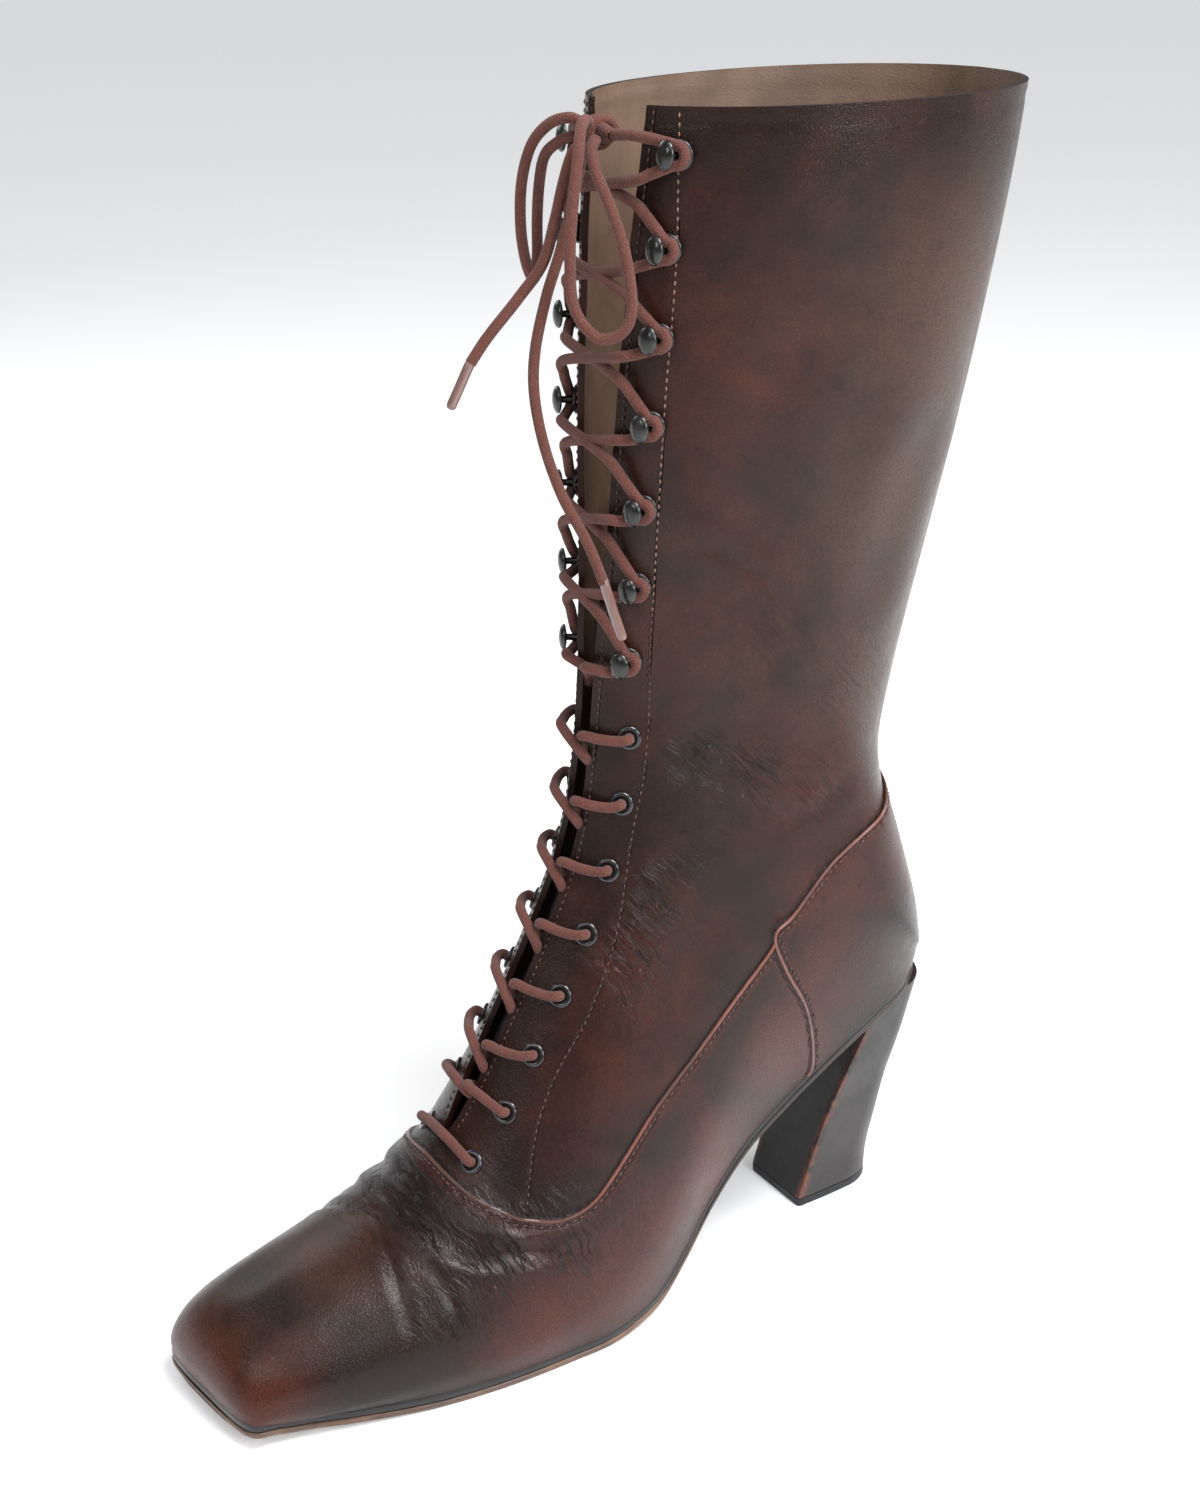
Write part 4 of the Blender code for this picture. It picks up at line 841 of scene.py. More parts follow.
class Line:
    """A seam or fold on the leather, which tells how far places are from it."""

    def __init__(self, points):
        self.points = np.array(points, float)
        self.tree = KDTree(len(self.points))
        for k, point in enumerate(self.points):
            self.tree.insert(point, k)
        self.tree.balance()
        self.run = lengths(self.points)

    def measure(self, places):
        """For each place: its distance, its nearest place on the line, and that one's row and direction."""
        index = np.array([self.tree.find(p)[1] for p in places])
        best = np.full(len(places), np.inf)
        near = np.zeros((len(places), 3))
        ahead = np.zeros((len(places), 3))
        for shift in (-1, 0):
            a = np.clip(index + shift, 0, len(self.points) - 2)
            start, step = self.points[a], self.points[a + 1] - self.points[a]
            t = np.clip(((places - start) * step).sum(1) / (step * step).sum(1), 0, 1)
            spot = start + step * t[:, None]
            far = np.linalg.norm(places - spot, axis=1)
            closer = far < best
            best[closer] = far[closer]
            near[closer] = spot[closer]
            ahead[closer] = step[closer]
        return best, near, index, ahead / np.linalg.norm(ahead, axis=1)[:, None]


def inside(polygon, places):
    """Which side-view places lie within the polygon, by crossings."""
    x, z = places[:, 0], places[:, 2]
    result = np.zeros(len(places), bool)
    for (x1, z1), (x2, z2) in zip(polygon, polygon[1:] + polygon[:1]):
        if z1 == z2:
            continue
        crosses = (z > z1) != (z > z2)
        result ^= crosses & (x < (x2 - x1) * (z - z1) / (z2 - z1) + x1)
    return result


def signed(line, polygon, places, normals, way):
    """Millimetres from the line, positive on the overlay's own side of it."""
    far, near, _, ahead = line.measure(places)
    local = way * (np.cross(ahead, normals) * (places - near)).sum(1)
    sign = np.where(far < 0.005, np.sign(local), np.where(inside(polygon, places), 1.0, -1.0))
    return sign * far * 1000


def both_sides(points):
    """An outer line that ends at the middle, carried on over the inner side."""
    return list(points) + [(x, -y, z) for x, y, z in list(points)[-2::-1]]


def on_skin(tree, points, spacing=0.0008):
    """A smooth line through points in millimetres, laid on the leather."""
    places = through(np.array(points, float) / 1000, spacing)
    return np.array([tree.find_nearest(Vector(p))[0] for p in places])


def soft_step(value, low, high):
    """0 below low, 1 above high and a smooth rise between."""
    t = np.clip((value - low) / (high - low), 0, 1)
    return t * t * (3 - 2 * t)


SKIN = {}


def base_skin(step):
    """The last's surface as two halves of a grid, welded at the ridge, the toe and the back seam."""
    fine = np.linspace(0, ROWS - 1, 400)
    edge = np.array([half_curve(at, 1, 3)[1] for at in fine])
    run = lengths(edge)
    count = int(run[-1] / step)
    levels = np.interp(np.linspace(0, run[-1], count + 1), run, fine)
    columns = int(0.105 / step)
    bm = bmesh.new()
    skin = bm.loops.layers.uv.new("skin")
    spots = {}
    for side in (1, -1):
        rows = grid(bm, columns, count)
        for k, (row, at) in enumerate(zip(rows, levels)):
            curve = half_curve(at, side, columns + 1)
            around = lengths(curve)
            for vert, place, r in zip(row, curve, around):
                vert.co = place
                spots[vert] = (k * step, side * (around[-1] - r))
    for face in bm.faces:
        for loop in face.loops:
            loop[skin].uv = spots[loop.vert]
    bmesh.ops.remove_doubles(bm, verts=bm.verts, dist=2e-5)
    bmesh.ops.recalc_face_normals(bm, faces=bm.faces)
    bm.faces.ensure_lookup_table()
    front = max(bm.faces, key=lambda f: f.calc_center_median().x)
    if front.normal.x < 0:
        bmesh.ops.reverse_faces(bm, faces=bm.faces)
    bm.normal_update()
    return bm


def lay_seams(tree):
    """The seam and fold lines, laid on the plain leather."""
    SKIN["base"] = tree
    SKIN["vamp"] = Line(on_skin(tree, both_sides(VAMP_SEAM)))
    SKIN["counter"] = Line(on_skin(tree, both_sides(COUNTER_SEAM)))
    stays = []
    for side in (1, -1):
        places = []
        for x, z in EYESTAY_SEAM:
            hit = tree.ray_cast(Vector((x / 1000, side * 0.08, z / 1000)), Vector((0, -side, 0)))[0]
            if hit is not None:
                places.append(tuple(hit * 1000))
        stays.append(Line(on_skin(tree, places)))
    SKIN["stays"] = stays
    facings = []
    for side in (1, -1):
        rows = np.linspace(THROAT_ROW + 0.7, ROWS - 1.0, 70)
        facings.append(Line(through([surface_point(at, side, 0.0024) for at in rows], 0.0008)))
    SKIN["facings"] = facings
    folds = []
    for depth, half_width, places in FOLDS:
        if abs(places[0][1]) < 0.1:
            folds.append((depth, half_width, Line(on_skin(tree, both_sides(places[::-1])))))
            continue
        folds.append((depth, half_width, Line(on_skin(tree, places))))
        folds.append((depth * 0.8, half_width, Line(on_skin(tree, [(x, -y, z) for x, y, z in places]))))
    SKIN["folds"] = folds


def vamp_polygon():
    """The vamp's side view, in metres."""
    seam = [(x / 1000, z / 1000) for x, _, z in VAMP_SEAM]
    return seam + [(0.26, 0.1), (0.26, -0.01), (0.018, -0.01), (0.018, 0.1165)]


def counter_polygon():
    """The counter's side view, in metres."""
    seam = [(x / 1000, z / 1000) for x, _, z in COUNTER_SEAM]
    return seam + [(-0.1, 0.16), (-0.1, 0.0), (0.02, 0.0)]


def fold_depth(places, along_taper=0.22):
    """How far the folds sink (negative) or raise the leather, in metres."""
    total = np.zeros(len(places))
    for depth, half_width, line in SKIN["folds"]:
        far, _, index, _ = line.measure(places)
        far = far * 1000 / half_width
        share = line.run[index] / line.run[-1]
        ends = soft_step(share, 0, along_taper) * soft_step(1 - share, 0, along_taper)
        trough = np.exp(-far ** 2)
        lips = 0.42 * np.exp(-((far - 2.0) / 0.8) ** 2)
        total += (lips - trough) * ends * depth * 0.001
    return total


def area_values(places):
    """Strength of wrinkles, burnish, light wear and painted shade at each place."""
    areas = table(AREAS)
    found = {name: np.zeros(len(places)) for name in AREA_NAMES}
    flat = places.copy()
    flat[:, 1] = np.abs(flat[:, 1])
    for k in range(len(areas["x"])):
        centre = np.array((areas["x"][k], abs(areas["y"][k]), areas["z"][k])) / 1000
        far = np.linalg.norm(flat - centre, axis=1) / (areas["reach"][k] / 1000)
        name = AREA_NAMES[int(areas["kind"][k])]
        found[name] = np.maximum(found[name], areas["strength"][k] * np.exp(-far ** 2 * 1.1))
    return found


def vert_places(bm):
    """Every vertex's place and normal."""
    bm.verts.ensure_lookup_table()
    return np.array([v.co for v in bm.verts]), np.array([v.normal for v in bm.verts])


class BOOT_OT_upper(bpy.types.Operator):
    """Builds the leather upper with its overlays, folds and lining"""
    bl_idname = "boot.upper"
    bl_label = "Leather upper"

    def execute(self, context):
        size = sizes()
        bm = base_skin(size.skin_step)
        lay_seams(BVHTree.FromBMesh(bm))
        places, normals = vert_places(bm)
        near = np.minimum(SKIN["vamp"].measure(places)[0], SKIN["counter"].measure(places)[0])
        busy = (near < 0.0026) | (np.abs(fold_depth(places)) > 0.00022)
        chosen = [e for e in bm.edges if busy[e.verts[0].index] and busy[e.verts[1].index]]
        bmesh.ops.subdivide_edges(bm, edges=chosen, cuts=1, use_grid_fill=True)
        bm.normal_update()
        places, normals = vert_places(bm)
        vamp = signed(SKIN["vamp"], vamp_polygon(), places, normals, -1)
        counter = signed(SKIN["counter"], counter_polygon(), places, normals, 1)
        vamp = np.minimum(vamp, -counter + 0.5)
        raised = np.maximum(size.vamp_step * soft_step(vamp, -0.45, 0.45),
                            size.counter_step * soft_step(counter, -0.45, 0.45))
        sewn = np.full(len(places), 9.0)
        for line in SKIN["stays"] + SKIN["facings"]:
            sewn = np.minimum(sewn, line.measure(places)[0] * 1000)
        sewn = np.minimum(sewn, np.abs(vamp - 1.7))
        sewn = np.minimum(sewn, np.abs(counter - 1.7))
        moved = raised + fold_depth(places) - 0.00012 * np.exp(-(sewn / 0.9) ** 2)
        collar = COLLAR_HEIGHT - places[:, 2]
        moved = moved - 0.0002 * np.exp(-((collar * 1000 - 4) / 0.9) ** 2)
        values = area_values(places)
        values.update(vamp_d=vamp, counter_d=counter, stitch_d=sewn)
        for name, column in values.items():
            layer = bm.verts.layers.float.new(name)
            for vert, value in zip(bm.verts, column):
                vert[layer] = float(value)
        for vert, place, normal, lift in zip(bm.verts, places, normals, moved):
            vert.co = Vector(place) + Vector(normal) * float(lift)
        bm.normal_update()
        SKIN["tree"] = BVHTree.FromBMesh(bm)
        obj = add_piece("upper_leather", bm, ("leather", "lining"), ("upper",), 0)
        wall = obj.modifiers.new("wall", "SOLIDIFY")
        wall.thickness = WALL
        wall.offset = -1
        wall.material_offset = 1
        wall.material_offset_rim = 0
        wall.use_quality_normals = True
        graph = context.evaluated_depsgraph_get()
        mesh = bpy.data.meshes.new_from_object(obj.evaluated_get(graph))
        obj.modifiers.clear()
        obj.data = mesh
        mesh.shade_smooth()
        mesh.set_sharp_from_angle(angle=math.radians(50))
        return {"FINISHED"}


def stitch_places(line, beside, first=0.0, last=1.0):
    """Evenly spaced places and directions beside a line on the finished leather."""
    size = sizes()
    tree = SKIN["tree"]
    run = line.run
    wanted = np.arange(run[-1] * first + size.stitch / 2, run[-1] * last, size.stitch)
    found = []
    for at in wanted:
        here = Vector([np.interp(at, run, line.points[:, k]) for k in range(3)])
        ahead = Vector([np.interp(at + 0.0006, run, line.points[:, k]) for k in range(3)])
        ahead -= Vector([np.interp(at - 0.0006, run, line.points[:, k]) for k in range(3)])
        if ahead.length < 1e-9:
            continue
        ahead.normalize()
        normal = tree.find_nearest(here)[1]
        aside = ahead.cross(normal).normalized()
        place, normal, _, _ = tree.find_nearest(here + aside * beside)
        found.append((place, ahead, normal))
    return found


def add_stitches(bm, places, length, radius):
    """One small rounded stitch, repeated at each place along its direction."""
    for place, ahead, normal in places:
        made = bmesh.ops.create_icosphere(bm, subdivisions=1, radius=1)["verts"]
        aside = normal.cross(ahead).normalized()
        up = ahead.cross(aside)
        turn = Matrix((ahead * length / 2, aside * radius, up * radius)).transposed().to_4x4()
        turn.translation = place + normal * radius * 0.25
        bmesh.ops.transform(bm, matrix=turn, verts=made)


class BOOT_OT_seams(bpy.types.Operator):
    """Builds the folded edges and the rows of stitches"""
    bl_idname = "boot.seams"
    bl_label = "Seams and stitches"

    def execute(self, context):
        size = sizes()
        rolls = bmesh.new()
        for line, lift, first, last in ((SKIN["vamp"], size.vamp_step, 0.012, 0.988),
                                        (SKIN["counter"], size.counter_step, 0.0, 1.0)):
            points = through(line.points[int(first * len(line.points)):int(last * len(line.points))], 0.0008)
            sunk = fold_depth(points)
            normals = np.array([SKIN["base"].find_nearest(Vector(point))[1] for point in points])
            route = points + normals * (lift * 0.62 + sunk)[:, None]
            for _ in range(4):
                route[1:-1] = (route[:-2] + 2 * route[1:-1] + route[2:]) / 4
            tube(rolls, route, size.piping, 8)
        face_out(rolls)
        add_piece("folded_edges", rolls, ("edge",))
        dark = bmesh.new()
        add_stitches(dark, stitch_places(SKIN["vamp"], -0.0017, 0.02, 0.98), size.stitch * 0.62, size.thread)
        add_stitches(dark, stitch_places(SKIN["counter"], 0.0017), size.stitch * 0.62, size.thread)
        light = bmesh.new()
        for line in SKIN["stays"]:
            add_stitches(light, stitch_places(line, 0, 0.0, 0.42), size.stitch * 0.66, size.thread * 1.1)
            add_stitches(dark, stitch_places(line, 0, 0.42, 0.985), size.stitch * 0.62, size.thread)
        for line in SKIN["facings"]:
            add_stitches(dark, stitch_places(line, 0), size.stitch * 0.6, size.thread)
        add_piece("dark_stitches", dark, ("thread",), (), 0)
        add_piece("light_stitches", light, ("light_thread",), (), 0)
        return {"FINISHED"}


class BOOT_OT_tongue(bpy.types.Operator):
    """Builds the tongue behind the lacing"""
    bl_idname = "boot.tongue"
    bl_label = "Tongue"

    def execute(self, context):
        columns = 12
        levels = np.linspace(8.2, 24, 90)
        bm = bmesh.new()
        rows = grid(bm, 2 * columns, len(levels) - 1)
        for row, at in zip(rows, levels):
            drop = TONGUE_DEPTH * min((at - 7.4) / 3.2, 1) + GAP
            depth = max(WALL + 2 * GAP + 0.0004, drop)
            places = []
            for side, order in ((1, range(columns, 0, -1)), (-1, range(columns + 1))):
                for k in order:
                    inset = max(TONGUE_HALF_WIDTH * k / columns, 1e-4)
                    here, normal, _, _ = surface_frame(at, side, inset)
                    roll = 0.0030 * math.exp(-(inset / 0.0036) ** 2) * soft_step(at, 10.2, 11.5)
                    roll -= 0.0007 * math.exp(-((inset - 0.0006) / 0.0011) ** 2) * soft_step(at, 10.2, 11.5)
                    sway = 0.0004 * math.sin(at * 2.4 + side) * soft_step(at, 10.5, 12)
                    places.append(here - normal * (depth - roll + sway))
            places = np.array(places)
            middle = (places[columns - 2] + places[columns + 2]) / 2
            for k in (columns - 1, columns, columns + 1):
                places[k] = middle + (places[k] - middle) * 0.8
            places[columns, 1] = 0
            for vert, place in zip(row, places):
                vert.co = place
        face_front(bm)
        obj = add_piece("tongue_sheet", bm, ("tongue",), ("tongue",), 0)
        wall = obj.modifiers.new("wall", "SOLIDIFY")
        wall.thickness = 0.0015
        wall.offset = -1
        return {"FINISHED"}


def face_front(bm):
    """Turns an open sheet's faces to the boot's front."""
    bmesh.ops.recalc_face_normals(bm, faces=bm.faces)
    if sum(face.normal.x for face in bm.faces) < 0:
        bmesh.ops.reverse_faces(bm, faces=bm.faces)


def sole_rim(offset):
    """Cross lines of the underside, outer and inner end, from the toe's tip to the heel's back."""
    toe = [half_curve(0, side, 25)[::-1] for side in (1, -1)]
    rows = np.arange(0.6, HEEL_ROW - 0.01, 0.15)
    outer = list(toe[0][1:-3]) + [half_curve(at, 1, 2)[0] for at in rows]
    inner = list(toe[1][1:-3]) + [half_curve(at, -1, 2)[0] for at in rows]
    back = half_curve(HEEL_ROW, 1, 2)[0]
    loop = np.array([toe[0][0]] + outer + [back] + inner[::-1])
    around = np.roll(loop, -1, axis=0) - np.roll(loop, 1, axis=0)
    normals = np.stack([around[:, 1], -around[:, 0]], 1)
    normals /= np.linalg.norm(normals, axis=1)[:, None]
    if ((loop[:, :2] - loop[:, :2].mean(axis=0)) * normals).sum() < 0:
        normals = -normals
    loop[:, :2] += normals * offset
    count = len(outer)
    outer = np.concatenate([loop[:1], loop[1:count + 1], loop[count + 1:count + 2]])
    inner = np.concatenate([loop[:1], loop[count + 2:][::-1], loop[count + 1:count + 2]])
    return evenly(outer, 230), evenly(inner, 230)


def evenly(points, count):
    """count points at even distances along the given ones."""
    run = lengths(points)
    wanted = np.linspace(0, run[-1], count)
    return np.stack([np.interp(wanted, run, points[:, k]) for k in range(3)], 1)


def underside(x):
    """Height of the open underside of the upper at x."""
    rows = np.arange(HEEL_ROW)
    along = np.array([LAST["low_along"][r] * LENGTH for r in rows])
    up = np.array([low_height(min(LAST["low_up"][r], 1)) for r in rows])
    return float(np.interp(x, along[::-1], up[::-1]))


def plate(name, kind, node_name, offset, top_drop, thickness, rounding):
    """A sole layer: a grid over the underside, given its thickness and a rounded rim."""
    outer, inner = sole_rim(offset)
    columns = 10
    bm = bmesh.new()
    rows = grid(bm, columns, len(outer) - 1)
    for row, a, b in zip(rows, outer, inner):
        for k, vert in enumerate(row):
            place = a + (b - a) * k / columns
            vert.co = (place[0], place[1], place[2] - top_drop)
    bmesh.ops.remove_doubles(bm, verts=bm.verts, dist=1e-6)
    bmesh.ops.recalc_face_normals(bm, faces=bm.faces)
    if sum(face.normal.z for face in bm.faces) < 0:
        bmesh.ops.reverse_faces(bm, faces=bm.faces)
    made = bmesh.ops.extrude_face_region(bm, geom=bm.faces[:])["geom"]
    lower = [v for v in made if isinstance(v, bmesh.types.BMVert)]
    bmesh.ops.translate(bm, vec=(0, 0, -thickness), verts=lower)
    face_out(bm)
    bm.normal_update()
    rim = [e for e in bm.edges if len(e.link_faces) == 2 and e.calc_face_angle(0) > 1.0]
    bmesh.ops.bevel(bm, geom=rim, offset=rounding, offset_type="OFFSET", segments=2, profile=0.5,
                    affect="EDGES", material=-1)
    face_out(bm)
    return add_piece(name, bm, (kind,), (node_name,), 60)


class BOOT_OT_sole(bpy.types.Operator):
    """Builds the insole, the rand and the outsole"""
    bl_idname = "boot.sole"
    bl_label = "Sole layers"

    def execute(self, context):
        plate("insole_sock", "sock", "insole", -(WALL + INSOLE_INSET), -(INSOLE + GAP), INSOLE,
              0.0003)
        plate("welt_rand", "rand", "welt", RAND_EDGE, -RAND_RISE, WELT + RAND_RISE + RAND_FALL,
              0.0007)
        plate("outsole_plate", "sole", "outsole", SOLE_EDGE + 0.0003, WELT + RAND_FALL,
              OUTSOLE + 2 * GAP - RAND_FALL, 0.0006)
        return {"FINISHED"}


def heel_ring(front, back, half):
    """The heel in plan from the middle of the breast round the outer side to the middle of the back."""
    turn = back + 0.42 * (front - back)
    corner = 0.0011
    points = [(front, 0), (front, half - corner * 2.4), (front, half - corner)]
    points += [(front - corner * 0.3, half - corner * 0.3), (front - corner, half)]
    points += [(front - corner * 3.2, half * 0.999), ((front + turn) / 2, half * 0.997)]
    points.append((turn + 0.003, half * 0.972))
    for k in range(15):
        a = math.pi / 2 * k / 14
        width = half * 0.96 * math.cos(a) ** 0.85 if k < 14 else 0
        points.append((turn - (turn - back) * math.sin(a), width))
    return points


def heel_piece(name, kinds, node_name, ground, levels_count):
    """The covered heel, or its ground piece, as a grid wrapped round it and closed at both ends."""
    levels = table(HEEL_LEVELS)
    floor_z = TOP_LIFT + GAP
    bm = bmesh.new()
    half = heel_ring(0.02, -0.02, 0.02)
    around = 2 * (len(half) - 1)
    edge = bm.verts.layers.float.new("edge")
    rows = grid(bm, around, levels_count)
    for k, row in enumerate(rows):
        share = 0 if ground else k / levels_count
        at = float(np.interp(share, levels["up"], np.arange(len(levels["up"]))))
        values = [smooth(levels[name_], at) for name_ in ("front", "back", "half")]
        ring = heel_ring(values[0] * LENGTH, values[1] * LENGTH, values[2] * HEEL_SEAT_WIDTH)
        ring = ring + [(x, -y) for x, y in ring[-2::-1]]
        for j, (vert, (x, y)) in enumerate(zip(row, ring)):
            tall = underside(x) - SOLE_STACK + GAP - floor_z
            z = TOP_LIFT * k / levels_count if ground else floor_z + tall * share
            vert.co = (x, y, z)
            corner = min(j, around - j)
            vert[edge] = {2: 0.7, 3: 1.0, 4: 0.9}.get(corner, 0.0)
    bmesh.ops.remove_doubles(bm, verts=bm.verts, dist=1e-6)
    for z_end in (0, 1):
        rim = [e for e in bm.edges if e.is_boundary and (e.verts[0].co.z < floor_z + 1e-4) == (z_end == 0)]
        if ground:
            rim = [e for e in bm.edges if e.is_boundary and (e.verts[0].co.z < TOP_LIFT / 2) == (z_end == 0)]
        bmesh.ops.contextual_create(bm, geom=rim)
    face_out(bm)
    # Painted shade: faces that point forward take the darker breast copy of the cover.
    for face in bm.faces:
        if len(kinds) > 1 and face.normal.x > 0.75:
            face.material_index = 1
    if ground:
        bm.normal_update()
        rim = [e for e in bm.edges if e.calc_face_angle(0) > 1.0 and max(v.co.z for v in e.verts) < 1e-5]
        bmesh.ops.bevel(bm, geom=rim, offset=0.0004, offset_type="OFFSET", segments=2, profile=0.5,
                        affect="EDGES", material=-1)
    return add_piece(name, bm, kinds, (node_name,), 35)


class BOOT_OT_heel(bpy.types.Operator):
    """Builds the covered heel and its top lift"""
    bl_idname = "boot.heel"
    bl_label = "Heel"

    def execute(self, context):
        heel_piece("heel_cover", ("heel", "breast"), "heel_block", False, 28)
        heel_piece("top_lift_rubber", ("lift",), "top_lift", True, 3)
        return {"FINISHED"}


def frame_matrix(here, normal, across, up):
    """Local x away from the facing edge, y up the boot and z off the leather, at a place."""
    turn = Matrix((Vector(across), Vector(up), Vector(normal))).transposed().to_4x4()
    turn.translation = Vector(here)
    return turn


def turned_ring(bm, centre_radius, profile, steps, matrix):
    """A ring whose closed profile of (out, up) is spun about local z, then placed."""
    verts = [bm.verts.new((centre_radius + out, 0, up)) for out, up in profile]
    edges = [bm.edges.new((verts[k], verts[(k + 1) % len(verts)])) for k in range(len(verts))]
    before = set(bm.verts) - set(verts)
    bmesh.ops.spin(bm, geom=verts + edges, cent=(0, 0, 0), axis=(0, 0, 1), angle=math.tau, steps=steps,
                   use_merge=True, use_duplicate=False)
    made = [v for v in bm.verts if v not in before]
    bmesh.ops.transform(bm, matrix=matrix, verts=made)
    return made


class BOOT_OT_eyelets(bpy.types.Operator):
    """Builds the sixteen rolled eyelets"""
    bl_idname = "boot.eyelets"
    bl_label = "Eyelets"

    def execute(self, context):
        bm = bmesh.new()
        half = (EYELET_FLANGE - EYELET_BORE) / 2
        profile = []
        for k in range(10):
            a = math.tau * k / 10
            profile.append((half * math.cos(a), 0.00035 + 0.00062 * math.sin(a)))
        names = []
        for side, side_name in ((1, "outer"), (-1, "inner")):
            for k, at in enumerate(EYELET_ROWS):
                here, normal, across, up = surface_frame(at, side, EYELET_INSET)
                turn = frame_matrix(here, normal, across, up)
                turned_ring(bm, EYELET_BORE + half, profile, 28, turn)
                # Painted shade: a near black disc in each ring stands for the dark inside of the bore.
                disc = bmesh.ops.create_circle(bm, cap_ends=True, segments=20, radius=EYELET_BORE + half,
                                               matrix=turn @ Matrix.Translation((0, 0, 0.00012)))["verts"]
                for face in {f for v in disc for f in v.link_faces}:
                    face.material_index = 1
                names.append(f"eyelet_{side_name}_{k + 1}")
        bmesh.ops.recalc_face_normals(bm, faces=bm.faces)
        add_piece("eyelet_rings", bm, ("enamel", "hole"), names, 60)
        return {"FINISHED"}


class BOOT_OT_hooks(bpy.types.Operator):
    """Builds the fourteen speed hooks"""
    bl_idname = "boot.hooks"
    bl_label = "Speed hooks"

    def execute(self, context):
        bm = bmesh.new()
        names = []
        bead = [(0.00075 * math.cos(math.tau * k / 8), 0.0006 + 0.0006 * math.sin(math.tau * k / 8))
                for k in range(8)]
        for side, side_name in ((1, "outer"), (-1, "inner")):
            for k, at in enumerate(HOOK_ROWS):
                turn = frame_matrix(*surface_frame(at, side, HOOK_INSET))
                turned_ring(bm, 0.0034, bead, 28, turn)
                arm = [(0.0004, 0, 0.0006), (-0.0002, 0, 0.0009), (-0.0003, 0, 0.0022), (-0.0006, 0, 0.0040),
                       (-0.0012, 0, 0.0053)]
                route = [turn @ Vector(p) for p in through(arm, 0.0005)]
                tube(bm, route, 0.0010, 10)
                plug = bmesh.ops.create_uvsphere(bm, u_segments=16, v_segments=8, radius=1)["verts"]
                flat = Matrix.Diagonal((0.0030, 0.0030, 0.0006, 1))
                bmesh.ops.transform(bm, matrix=turn @ Matrix.Translation((0, 0, 0.0006)) @ flat, verts=plug)
                cap = bmesh.ops.create_uvsphere(bm, u_segments=24, v_segments=16, radius=1)["verts"]
                dome = Matrix.Diagonal((0.0031, 0.0039, 0.0016, 1))
                lean = Matrix.Rotation(math.radians(-24), 4, "Y")
                place = Matrix.Translation((-0.0015, 0, 0.0055))
                for vert in cap:
                    if vert.co.z < 0:
                        vert.co.z *= 0.45
                bmesh.ops.transform(bm, matrix=turn @ place @ lean @ dome, verts=cap)
                names.append(f"hook_{side_name}_{k + 1}")
        bmesh.ops.recalc_face_normals(bm, faces=bm.faces)
        add_piece("speed_hooks", bm, ("gunmetal",), names, 60)
        return {"FINISHED"}


def over(at, side, inset, height):
    """A point height above a facing, inset from its edge, or past the edge if inset is negative."""
    here, normal, across, _ = surface_frame(at, side, max(inset, 0))
    return here + normal * height + across * min(inset, 0)


def from_eyelet(at, side):
    """The lace's first points, up out of an eyelet."""
    here, normal, _, _ = surface_frame(at, side, EYELET_INSET)
    return [here - normal * IN_EYELET, here + normal * OVER_EYELET, here + normal * ARCHED]


def strand(at, lower, side, lift, sag):
    """From an eyelet over its own facing and the gap to just under the opposite facing."""
    points = from_eyelet(at, side)
    for inset, share in ((EYELET_INSET - OFF_EYELET, 0.10 + sag), (EYELET_INSET / 3, 0.26 + sag),
                         (-PAST_EDGE, 0.42)):
        points.append(over(at + (lower - at) * share, side, inset, ON_TOP + lift))
    if side > 0:
        for inset, share in ((-PAST_EDGE / 2, 0.62), (TUCKED, 0.75)):
            points.append(over(at + (lower - at) * share, -side, inset, UNDER))
        return points
    for inset, share, height in ((-PAST_EDGE, 0.68, CROSSED), (0.0004, 0.84, -CROSSED),
                                 (TUCKED, 0.93, UNDER)):
        points.append(over(at + (lower - at) * share, -side, inset, height))
    return points


def hook_turn(at, side):
    """The bend of the lace round the far side of a hook's neck, from below it to above."""
    here, normal, across, up = surface_frame(at, side, HOOK_INSET)
    centre = here + normal * ARCHED
    points = []
    for angle in (-100, -50, 0, 50, 100):
        a = math.radians(angle)
        points.append(centre + ARCHED * (math.cos(a) * across + math.sin(a) * up))
    return points


def hook_strand(side, lift, knot):
    """From under the facing at the top eyelet, side to side round every hook, to the knot."""
    top = EYELET_ROWS[-1]
    rise = HOOK_ROWS[0] - top
    high = AT_HOOKS + lift
    points = [over(top + rise * 0.25, side, TUCKED, UNDER + lift)]
    points.append(over(top + rise * 0.38, side, -PAST_EDGE / 2, UNDER + lift))
    points.append(over(top + rise * 0.60, -side, -PAST_EDGE, high))
    points.append(over(top + rise * 0.74, -side, HOOK_INSET / 2, high))
    here = -side
    for k, at in enumerate(HOOK_ROWS):
        points += hook_turn(at, here)
        if k + 1 < len(HOOK_ROWS):
            rise = HOOK_ROWS[k + 1] - at
            points.append(over(at + rise * 0.27, here, HOOK_INSET / 2, high))
            points.append(over(at + rise * 0.40, here, GAP, high))
            here = -here
            points.append(over(at + rise * 0.62, here, GAP, high))
            points.append(over(at + rise * 0.74, here, HOOK_INSET / 2, high))
    points.append(over(KNOT_ROW, here, GAP, NEAR_KNOT))
    points.append(knot + np.array((0, here * (KNOT_HALF - 0.001), 0)))
    return points


def knot_centre():
    """The middle of the knot, in front of the gap between the facings."""
    edge = surface_point(KNOT_ROW, 1, 0)
    return np.array((edge[0] + KNOT_PROUD, 0, edge[2]))


def lace_piece(name, bm, kind, nodes):
    """A finished piece of the lace, its faces turned outwards."""
    bmesh.ops.recalc_face_normals(bm, faces=bm.faces)
    return add_piece(name, bm, (kind,), nodes, 60)


